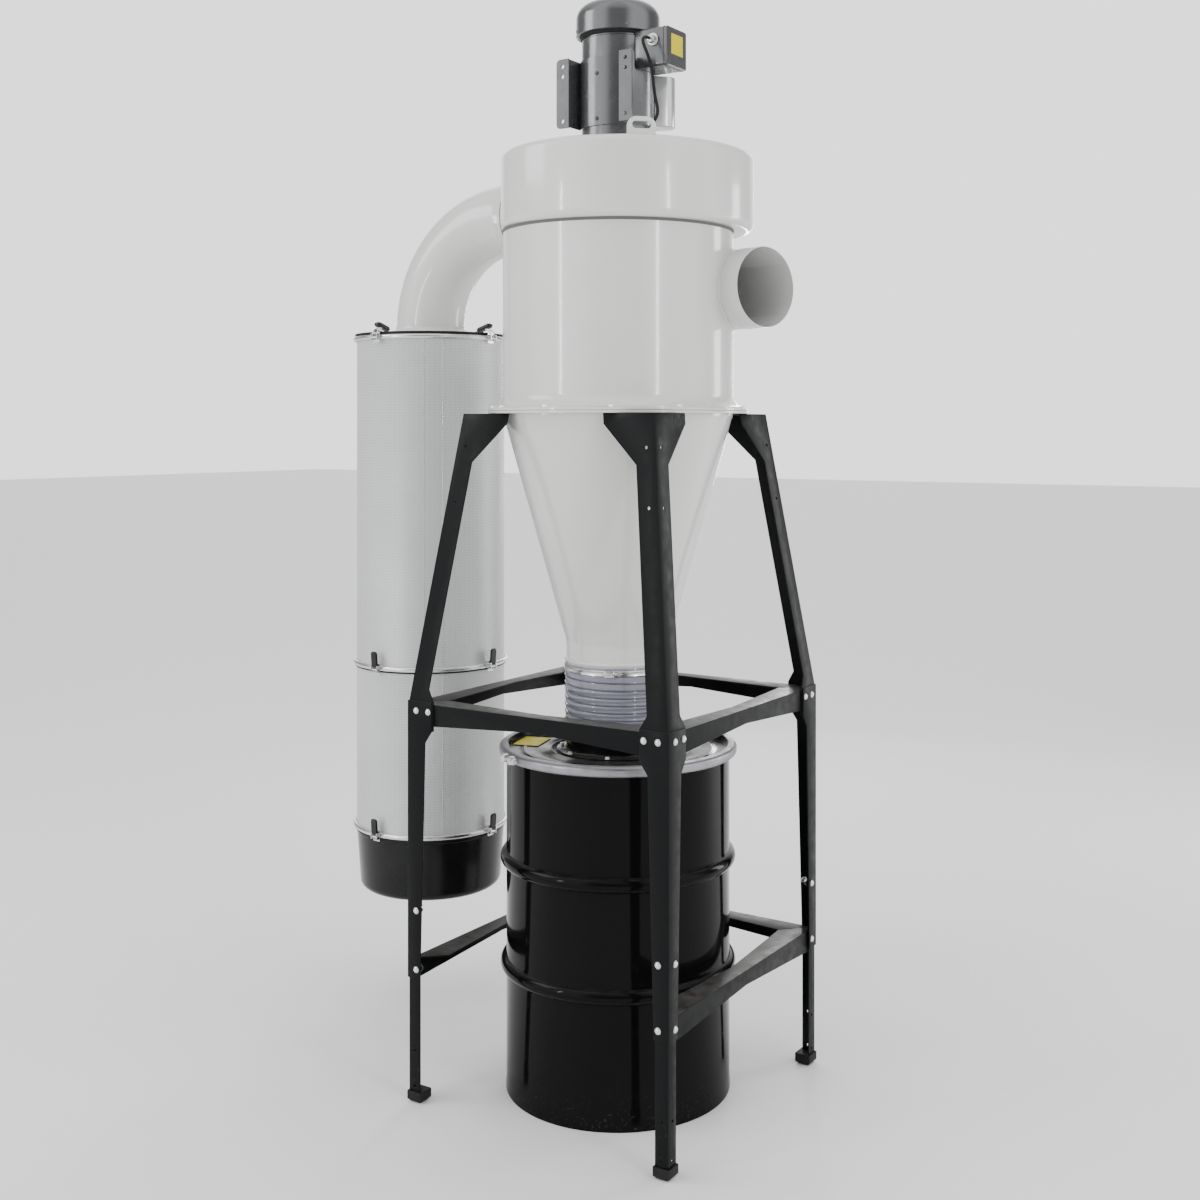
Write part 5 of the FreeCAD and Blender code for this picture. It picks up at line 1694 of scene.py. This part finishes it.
@dataclass
class FilterStack(Assembly):
    """Two cartridges, their clamp rings and latches, the lid with its gasket, and the dust pan."""

    seam_azimuths: tuple[float, ...] = (-55.3, -41.3, 67.0, 187.0)
    latch_start: float = -2.0
    latches: int = 4
    flare: float = 0.045            # concave flare where the stub meets the lid
    stub: float = 0.1048            # outer radius of the stub on the lid
    plate: float = 0.006            # thickness of the lid's plate
    seal_proud: float = 0.0035      # edge seal beyond the cartridge

    def centre(self) -> tuple[float, float]:
        """The stack's axis in plan."""
        lo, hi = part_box("filter_cartridge_upper")
        return ((lo.x + hi.x) / 2.0, (lo.y + hi.y) / 2.0)

    def radius(self) -> float:
        """Outer radius of the cartridges."""
        lo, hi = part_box("filter_cartridge_upper")
        return (hi.x - lo.x) / 2.0

    def build(self) -> None:
        """Make the stack from its lid down to the pan."""
        for level in ("upper", "lower"):
            self.media(level + "_media", "filter_cartridge_" + level)
        self.lid()
        self.rings()
        self.pan()
        self.latch_sets()

    def media(self, name: str, node: str) -> None:
        """Make a perforated sheet tube with end caps and lapped seams.

        Args:
            name: The tube's name.
            node: The frame's node that it replaces.
        """
        lo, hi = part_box(node)
        radius = self.radius()
        section: Section = [
            (radius - 0.012, lo.z), (radius - 0.001, lo.z), (radius - 0.001, lo.z + 0.008),
            (radius - 0.002, lo.z + 0.010), (radius - 0.002, hi.z - 0.010), (radius - 0.001, hi.z - 0.008),
            (radius - 0.001, hi.z), (radius - 0.012, hi.z)]
        turned(name, trace(section), MEDIA, [node], self.centre())
        strips = []
        for azimuth in self.seam_azimuths:
            strip = box_piece("seam", (0.0016, 0.0020, hi.z - lo.z - 0.022), 0.0003)
            spot = polar(radius - 0.0018, azimuth, (lo.z + hi.z) / 2.0, self.centre())
            strips.append(moved(strip, spun(spot, azimuth)))
        settle(paint(merged(name + "_seams", strips), CLAMP_STEEL))

    def lid(self) -> None:
        """The white lid plate with its stub, and the rubber gasket under it."""
        lo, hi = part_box("filter_lid")
        radius = self.radius()
        plate_top, stub = lo.z + self.plate, self.stub
        rise, steps = hi.z - plate_top - 0.001, 10
        neck = [(stub + self.flare * (1.0 - math.sin(angle)), plate_top + rise * (1.0 - math.cos(angle)))
                for angle in (math.pi / 2.0 * step / steps for step in range(steps + 1))]
        section: Section = [
            (stub - 0.002, lo.z), (radius - 0.001, lo.z), (radius, lo.z + 0.001), (radius, plate_top - 0.002),
            (radius - 0.0006, plate_top - 0.0006, "arc"), (radius - 0.002, plate_top), *neck,
            (stub, hi.z - 0.0006), (stub - 0.0008, hi.z), (stub - 0.002, hi.z)]
        turned("stack_lid", trace(section), WHITE, ["filter_lid"], self.centre())
        glo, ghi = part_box("filter_gasket")
        rim = radius + self.seal_proud
        seal = soften([(radius - 0.012, glo.z), (rim, glo.z), (rim, plate_top + 0.0012),
                       (radius - 0.007, plate_top + 0.0012), (radius - 0.007, ghi.z + 0.0004),
                       (radius - 0.012, ghi.z + 0.0004)], 0.0016)
        turned("stack_gasket", seal, RUBBER_AND_SHADE_BLACK, ["filter_gasket"], self.centre())

    def rings(self) -> None:
        """Rolled clamp rings round each joint."""
        for name, node in (("top_ring", "filter_top_ring"), ("middle_ring", "filter_middle_ring"),
                           ("lower_ring", "filter_lower_ring")):
            lo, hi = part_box(node)
            outer = (hi.x - lo.x) / 2.0
            inner = self.radius() + 0.0001
            section: Section = [
                (inner, lo.z), (outer - 0.004, lo.z), (outer, (lo.z + hi.z) / 2.0, "arc"),
                (outer - 0.004, hi.z), (inner, hi.z)]
            turned(name, trace(section, 12), CLAMP_STEEL, [node], self.centre())
            if node != "filter_top_ring":
                inside, outside = self.radius() - 0.001, self.radius() + 0.003
                foot, head = lo.z - 0.0045, lo.z + 0.001
                seal = [(inside, foot), (outside, foot), (outside, head), (inside, head)]
                turned(name + "_seal", seal, RUBBER_AND_SHADE_BLACK, (), self.centre())

    def pan(self) -> None:
        """The moulded dust pan with a rounded foot and a rolled rim."""
        lo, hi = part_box("dust_pan")
        top_radius = self.radius()
        foot = top_radius - 0.013
        corner = 0.024
        section: Section = [
            (0.0, lo.z + 0.002), (foot - corner - 0.03, lo.z + 0.002), (foot - corner - 0.02, lo.z),
            (foot - corner, lo.z), (foot - corner * HALF_ARC, lo.z + corner * HALF_ARC, "arc"),
            (foot, lo.z + corner),
            (top_radius - 0.003, hi.z - 0.020), (top_radius, hi.z - 0.017), (top_radius, hi.z),
            (top_radius - 0.004, hi.z), (foot - 0.006, lo.z + corner), (foot - corner, lo.z + 0.006),
            (0.0, lo.z + 0.006)]
        turned("pan_shell", trace(section), PAN_BLACK, ["dust_pan"], self.centre())

    def latch_sets(self) -> None:
        """Over-centre latches: a steel base, a wire bail and a black lever each."""
        ring = self.radius() + 0.009
        upright, leaning = [], []
        for node, places in (("filter_top_ring", leaning), ("filter_middle_ring", upright),
                             ("filter_lower_ring", upright)):
            lo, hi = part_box(node)
            for i in range(self.latches):
                azimuth = self.latch_start + 360.0 * i / self.latches
                spot = polar(ring, azimuth, (lo.z + hi.z) / 2.0, self.centre())
                places.append((spot, polar(1.0, azimuth, 0.0)))
        parts = [moved(box_piece("latch_plate", (0.030, 0.024, 0.0022), 0.0006),
                       Matrix.Translation((-0.001, 0.0, 0.0012)))]
        for side in (1.0, -1.0):
            ear = box_piece("latch_ear", (0.018, 0.0018, 0.013), 0.0005)
            parts.append(moved(ear, Matrix.Translation((0.0, side * 0.0105, 0.0075))))
        pin = (Vector((-0.002, -0.013, 0.0105)), Vector((-0.002, 0.013, 0.0105)))
        base = merged("latch_base", [*parts, rod("latch_pin", *pin, 0.0022, 14)])
        settle(self.repeater.spread("latch_bases", base, leaning + upright, CLAMP_STEEL),
               ["filter_latches"])
        lever = box_piece("latch_lever", (0.052, 0.022, 0.0125), 0.004)
        tilt = Matrix.Rotation(math.radians(-72.0), 4, "Y")
        lean = moved(lever, Matrix.Translation((0.030, 0.0, -0.021)) @ tilt)
        settle(self.repeater.spread("lid_levers", lean, leaning, GRIP))
        lever = box_piece("latch_lever", (0.046, 0.022, 0.0075), 0.003)
        tilt = Matrix.Rotation(math.radians(-4.0), 4, "Y")
        stand = moved(lever, Matrix.Translation((0.027, 0.0, 0.011)) @ tilt)
        settle(self.repeater.spread("ring_levers", stand, upright, GRIP))
        loop = [(-0.010, -0.009, 0.0040), (-0.012, -0.006, 0.0035), (-0.012, 0.006, 0.0035),
                (-0.010, 0.009, 0.0040), (0.020, 0.0075, 0.0115), (0.0215, 0.0, 0.0118),
                (0.020, -0.0075, 0.0115)]
        bail = wire("latch_bail", loop, 0.0014, True)
        settle(self.repeater.spread("latch_bails", bail, upright, CLAMP_STEEL))
        loop = [(-0.004, -0.009, 0.0120), (-0.004, 0.009, 0.0120), (0.018, 0.0085, 0.0060),
                (0.025, 0.0085, -0.0090), (0.025, -0.0085, -0.0090), (0.018, -0.0085, 0.0060)]
        bail = wire("lid_bail", loop, 0.0016, True)
        settle(self.repeater.spread("lid_bails", bail, leaning, CLAMP_STEEL))


@dataclass
class Motor(Assembly):
    """Vertical motor: end bell, rolled body, fan cover, foot base, conduit box and capacitor cover."""

    label_size: tuple[float, float] = (0.056, 0.051)
    seam_proud: float = 0.0004      # the conduit box's seam beyond its sides
    sheet: float = 0.004
    foot_inner: float = 0.076
    foot_corner: float = 0.012
    hole_x: float = 0.09525
    hole_heights: tuple[float, ...] = (2.467, 2.5813, 2.6067)
    hole_radius: float = 0.0052
    saddle_azimuth: float = -90.0
    saddle_steps: int = 40
    plate_azimuth: float = 195.0    # blank data plate
    plate_rise: float = 0.150       # above the end bell

    def build(self) -> None:
        """Make the motor and what is mounted on it."""
        self.body()
        self.base()
        self.box()
        self.capacitor()

    def body(self) -> None:
        """The end bell, the rolled body, the domed fan cover, a black ring painted as the shadow gap under
        its edge, and painted shade in its vent slots.
        """
        lo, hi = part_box("motor_end_bell")
        radius = hi.x
        section: Section = [
            (0.0, lo.z), (radius - 0.004, lo.z), (radius - 0.0012, lo.z + 0.0012, "arc"),
            (radius, lo.z + 0.004), (radius, hi.z - 0.0035), (radius - 0.0025, hi.z - 0.0015),
            (radius - 0.0025, hi.z), (0.0, hi.z)]
        turned("end_bell", trace(section), MOTOR_GREY, ["motor_end_bell"])
        top = high("motor_body").z
        section = [(0.0, hi.z), (radius - 0.0025, hi.z), (radius - 0.0006, hi.z + 0.0025),
                   (radius - 0.0006, top - 0.012), (radius - 0.003, top - 0.010), (radius - 0.003, top),
                   (0.0, top)]
        turned("stator_body", trace(section), MOTOR_GREY, ["motor_body"])
        lo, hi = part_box("motor_fan_cover")
        cover = (hi.x - lo.x) / 2.0
        dome, cap = 0.042, 0.050
        crown = hi.z - 0.004
        section = [(0.0, lo.z + 0.003), (radius - 0.001, lo.z + 0.003), (cover - 0.006, lo.z + 0.003),
                   (cover - 0.003, lo.z), (cover, lo.z + 0.0015), (cover, crown - dome),
                   (cover - dome * HALF_ARC, crown - dome * HALF_ARC, "arc"), (cover - dome, crown),
                   (cap + 0.002, crown), (cap, crown + 0.001), (cap - 0.002, hi.z), (0.0, hi.z)]
        turned("fan_dome", trace(section, 14), MOTOR_GREY, ["motor_fan_cover"])
        # painted shade: a black ring just under the fan cover's lower edge, standing for the shadow gap where
        # the cover overhangs the body
        shadow = [(radius - 0.004, lo.z - 0.007), (radius + 0.001, lo.z - 0.006),
                  (radius + 0.006, lo.z + 0.0028), (radius - 0.004, lo.z + 0.0028)]
        turned("fan_gap", shadow, RUBBER_AND_SHADE_BLACK)
        # painted shade: dark patches on the fan cover's top standing for the shade inside its vent slots
        slots = box_piece("vent_slot", (0.012, 0.0035, 0.0012), 0.0005)
        places = circle(12, 0.030, hi.z - 0.0004)
        vents = self.repeater.spread("fan_vents", slots, places, DARK_STEEL_AND_VENT_SHADE, up=Vector((1.0, 0.0, 0.0)))
        settle(vents)
        places = [(polar(cover - 0.0004, 45.0 + 90.0 * i, lo.z + 0.012), polar(1.0, 45.0 + 90.0 * i, 0.0))
                  for i in range(4)]
        self.repeater.screw("cover_screws", dome_bolt(0.0038, 0.002, 0.005, 0.0006), places, MOTOR_GREY)
        place = polar(radius - 0.0002, self.plate_azimuth, high("motor_end_bell").z + self.plate_rise)
        blank = box_piece("data_plate", (0.0008, 0.062, 0.040), 0.0002)
        settle(paint(moved(blank, spun(place, self.plate_azimuth)), PLATE_BLANK))

    def base(self) -> None:
        """The foot base: two drilled feet, their webs and the saddle rolled to the body."""
        lo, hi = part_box("motor_base")
        height = hi.z - lo.z
        web = self.foot_inner
        feet = []
        for side in (-1.0, 1.0):
            outer = [(0.0, 0.0), (hi.x - web, 0.0), (hi.x - web, height), (0.0, height)]
            rounded = soften(outer, self.foot_corner, closed=False)
            foot = plate("foot", rounded if side > 0 else [(-x, z) for x, z in rounded[::-1]],
                         0.0, self.sheet, 0.0008)
            stand = Matrix.Rotation(math.radians(90.0), 4, "X")
            foot = moved(foot, Matrix.Translation((side * web, lo.y + self.sheet, lo.z)) @ stand)
            drills = [rod("drill", Vector((side * self.hole_x, lo.y - 0.01, z)),
                          Vector((side * self.hole_x, lo.y + 0.02, z)), self.hole_radius, 24)
                      for z in self.hole_heights]
            feet.append(cut(foot, [merged("foot_drills", drills)]))
        saddle = high("motor_end_bell").x + self.sheet + 0.0003
        reach = math.sqrt(saddle ** 2 - web ** 2)
        first = math.degrees(math.atan2(-reach, -web))
        last = math.degrees(math.atan2(-reach, web))
        line = [Vector((-web, lo.y + self.sheet, 0.0))]
        steps = self.saddle_steps
        line += [polar(saddle, first + (last - first) * step / steps, 0.0) for step in range(steps + 1)]
        line.append(Vector((web, lo.y + self.sheet, 0.0)))
        verts, faces = [], []
        for index, point in enumerate(line):
            ahead = (line[min(index + 1, len(line) - 1)] - line[max(index - 1, 0)]).normalized()
            inward = Vector((-ahead.y, ahead.x, 0.0)) * (self.sheet - 0.0008)
            for offset in (Vector(), inward):
                for level in (lo.z + 0.002, hi.z - 0.002):
                    spot = point + offset
                    verts.append((spot.x, spot.y, level))
        for index in range(len(line) - 1):
            here, there = 4 * index, 4 * index + 4
            for left, right in ((0, 1), (1, 3), (3, 2), (2, 0)):
                faces.append((here + left, here + right, there + right, there + left))
        faces += [(0, 2, 3, 1), tuple(4 * len(line) - 4 + i for i in (0, 1, 3, 2))]
        strap = finish_mesh("saddle", verts, faces, 25.0)
        places = [(polar(saddle - 0.0002, self.saddle_azimuth, z), polar(1.0, self.saddle_azimuth, 0.0))
                  for z in self.hole_heights[:2]]
        self.repeater.screw("saddle_screws", dome_bolt(0.0046, 0.0016, 0.0056, 0.0006), places, DARK_STEEL_AND_VENT_SHADE)
        settle(paint(merged("foot_base", [*feet, strap]), MOTOR_GREY), ["motor_base"])

    def box(self) -> None:
        """The conduit box with its cover, seam and blank label."""
        shell = paint(bevelled("conduit_box", 0.0022, 3), MOTOR_GREY)
        settle(shell, ["conduit_box"])
        lo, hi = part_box("conduit_box")
        middle = (lo.z + hi.z) / 2.0
        cover = box_piece("box_cover", (hi.y - lo.y - 0.006, hi.z - lo.z - 0.006, 0.0016), 0.0006)
        turn = Matrix.Rotation(math.radians(90.0), 4, "Z") @ Matrix.Rotation(math.radians(90.0), 4, "X")
        place = Matrix.Translation((hi.x + 0.0005, (lo.y + hi.y) / 2.0, middle))
        settle(paint(moved(cover, place @ turn), MOTOR_GREY))
        front, back = lo.y - self.seam_proud, hi.y + self.seam_proud
        under, over = lo.z - self.seam_proud, hi.z + self.seam_proud
        points = soften([(back, over), (front, over), (front, under), (back, under)], 0.008, 5)
        seam = wire("box_seam", [(hi.x - 0.010, y, z) for y, z in points], 0.0007, True)
        settle(paint(seam, DARK_STEEL_AND_VENT_SHADE))
        patch = box_piece("box_label", (*self.label_size, 0.0004), 0.0001)
        place = Matrix.Translation((hi.x + 0.0014, -0.001, middle + 0.0075))
        settle(paint(moved(patch, place @ turn), LABEL))

    def capacitor(self) -> None:
        """The rounded capacitor cover along the body."""
        shell = bevelled("capacitor_cover", 0.003, 3)
        settle(paint(shell, CAPACITOR_GREY), ["capacitor_cover"])


# X, Y and height above the housing's top plate, as in the frame's route.
CORD_POINTS = [
    (0.137, -0.068, 0.273),
    (0.137, -0.086, 0.273),
    (0.1385, -0.102, 0.264),
    (0.146, -0.110, 0.247),
    (0.157, -0.106, 0.219),
    (0.163, -0.095, 0.185),
    (0.160, -0.086, 0.151),
    (0.163, -0.082, 0.117),
    (0.173, -0.086, 0.090),
    (0.178, -0.097, 0.069),
    (0.1745, -0.110, 0.052),
    (0.169, -0.118, 0.036),
    (0.169, -0.118, 0.018),
]


@dataclass
class MotorCord:
    """The motor's cord from the conduit box to the housing's top plate, with its glands."""

    diameter: float = 0.008
    length: float = 0.301
    gland_radius: float = 0.016
    neck_radius: float = 0.011
    flange: float = 0.007

    def build(self) -> None:
        """Make the cord and its two glands."""
        top = high("housing_top_plate").z
        points = [Vector((x, y, top + height)) for x, y, height in CORD_POINTS]
        curve = bpy.data.curves.new("cord_line", "CURVE")
        curve.dimensions = "3D"
        curve.bevel_depth = self.diameter / 2.0
        curve.bevel_resolution = 6
        curve.resolution_u = 16
        curve.use_fill_caps = True
        spline = curve.splines.new("NURBS")
        spline.points.add(len(points) - 1)
        for spot, point in zip(spline.points, points):
            spot.co = (*point, 1.0)
        spline.order_u = 3
        spline.use_endpoint_u = True
        cord = paint(new_object("cord_jacket", curve), RUBBER_AND_SHADE_BLACK)
        box_side = low("conduit_box").y
        glands = [self.gland("box_gland", Vector((points[0].x, box_side, points[0].z)), points[0]),
                  self.gland("plate_gland", Vector((points[-1].x, points[-1].y, top)), points[-1])]
        settle(paint(merged("cord_gland_set", glands), CLAMP_STEEL), ["cord_glands"])
        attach(cord, BODY)
        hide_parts("motor_cord")

    def gland(self, name: str, root: Vector, tip: Vector) -> Piece:
        """Make a round flange and a neck with a rounded lip up to the cord.

        Args:
            name: The gland's name.
            root: Middle of its foot.
            tip: Middle of its end, where the cord comes out.

        Returns:
            The gland.
        """
        axis = tip - root
        reach = axis.length
        section = [(0.0, 0.0), (self.gland_radius, 0.0), (self.gland_radius, self.flange - 0.001),
                   (self.gland_radius - 0.001, self.flange), (self.neck_radius, self.flange),
                   (self.neck_radius, reach - 0.005), (self.neck_radius - 0.0012, reach - 0.002),
                   (self.diameter / 2.0 + 0.0015, reach), (0.0, reach)]
        return moved(lathe(name, section, around=GLAND_ROUND, closed=False), aimed(root, axis))


# --- surroundings ------------------------------------------------------------


@dataclass
class Studio:
    """Pale floor, even sky and soft area lights, with the camera at eye height."""

    camera_spot: tuple[float, float, float] = (2.096, -3.237, 1.689)
    heading: float = 32.48
    lens: float = 44.8
    shift: tuple[float, float] = (-0.0247, -0.1447)
    floor_half: float = 40.0
    plain: float = 1.9              # surround as seen directly
    bright: float = 1.9             # bright panels
    dark: float = 0.35              # dark panels between them
    overhead: float = 1.3
    panels: float = 3.0

    def build(self) -> None:
        """Make the floor, the lights and the camera."""
        self.floor()
        self.lights()
        self.camera()

    def floor(self) -> None:
        """A large pale plane."""
        half = self.floor_half
        piece = finish_mesh("floor", [(-half, -half, 0), (half, -half, 0), (half, half, 0), (-half, half, 0)],
                            [(0, 1, 2, 3)])
        made = bpy.data.materials.new("pale_floor")
        made.use_nodes = True
        shader = made.node_tree.nodes["Principled BSDF"]
        shader.inputs["Base Color"].default_value = (0.86, 0.86, 0.86, 1.0)
        shader.inputs["Roughness"].default_value = 0.7
        piece.data.materials.append(made)

    def lights(self) -> None:
        """A bright even surround, a broad key, three tall strips that draw thin highlights, and a broad edge
        light from behind.
        """
        self.surround()
        for name, spot, aim, size, power in (
                ("key", (-3.6, -2.6, 3.9), (0.0, 0.0, 1.6), (2.0, 2.0), 60.0),
                ("strip_left", (-1.8, -4.2, 2.1), (0.0, 0.0, 1.9), (0.12, 1.6), 24.0),
                ("strip_right", (3.9, -1.4, 2.3), (0.0, 0.0, 1.9), (0.12, 1.6), 22.0),
                ("edge", (2.7, 3.9, 1.7), (0.3, 0.0, 1.1), (0.9, 2.6), 60.0),
                ("strip_back", (-1.6, 4.2, 2.3), (0.0, 0.0, 1.8), (0.2, 2.2), 24.0)):
            data = bpy.data.lights.new(name, "AREA")
            data.shape = "RECTANGLE"
            data.size, data.size_y = size
            data.energy = power
            lamp = new_object(name, data)
            lamp.location = spot
            lamp.rotation_euler = (Vector(aim) - Vector(spot)).to_track_quat("-Z", "Y").to_euler()

    def surround(self) -> None:
        """A plain pale surround to look at, with broad bright and dark panels for gloss to reflect."""
        world = bpy.data.worlds.new("surround")
        world.use_nodes = True
        world.node_tree.nodes.clear()
        graph = Graph(world.node_tree)
        where = graph.node("ShaderNodeTexCoord").outputs["Generated"]
        across, along, up = graph.node("ShaderNodeSeparateXYZ", {0: where}).outputs[:3]
        azimuth = graph.math("SUBTRACT", graph.math("ARCTAN2", along, across),
                             math.radians(self.heading - 90.0))
        panel = graph.math("COSINE", graph.math("MULTIPLY", azimuth, self.panels))
        level = graph.span(panel, -0.45, 0.45, self.bright, self.dark)
        level = graph.math("MAXIMUM", level, graph.span(up, 0.3, 0.8, 0.0, self.overhead))
        seen = graph.node("ShaderNodeLightPath").outputs["Is Camera Ray"]
        difference = graph.math("MULTIPLY", seen, graph.math("SUBTRACT", self.plain, level))
        strength = graph.math("ADD", level, difference)
        shell = graph.node("ShaderNodeBackground", {"Color": (1.0, 1.0, 1.0, 1.0), "Strength": strength})
        graph.node("ShaderNodeOutputWorld", {"Surface": shell.outputs[0]})
        bpy.context.scene.world = world

    def camera(self) -> None:
        """The level camera at eye height, in front and to the right."""
        data = bpy.data.cameras.new("eye")
        data.lens = self.lens
        data.sensor_width = 36.0
        data.shift_x, data.shift_y = self.shift
        data.clip_end = 200.0
        holder = new_object("eye", data)
        holder.location = self.camera_spot
        holder.rotation_euler = (math.radians(90.0), 0.0, math.radians(self.heading))
        bpy.context.scene.camera = holder


def main() -> None:
    """Load the frame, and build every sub-assembly."""
    logging.basicConfig(level=logging.INFO, format="%(name)s %(message)s")
    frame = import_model()
    LOG.info("%d frame nodes", len(frame["nodes"]))
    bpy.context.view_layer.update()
    Studio().build()
    MotorCord().build()
    repeater = Repeater()
    Stand(repeater).build()
    Drum(repeater).build()
    DropHose().build()
    Cyclone(repeater).build()
    Blower(repeater).build()
    FilterStack(repeater).build()
    Motor(repeater).build()


if __name__ == "__main__":
    main()
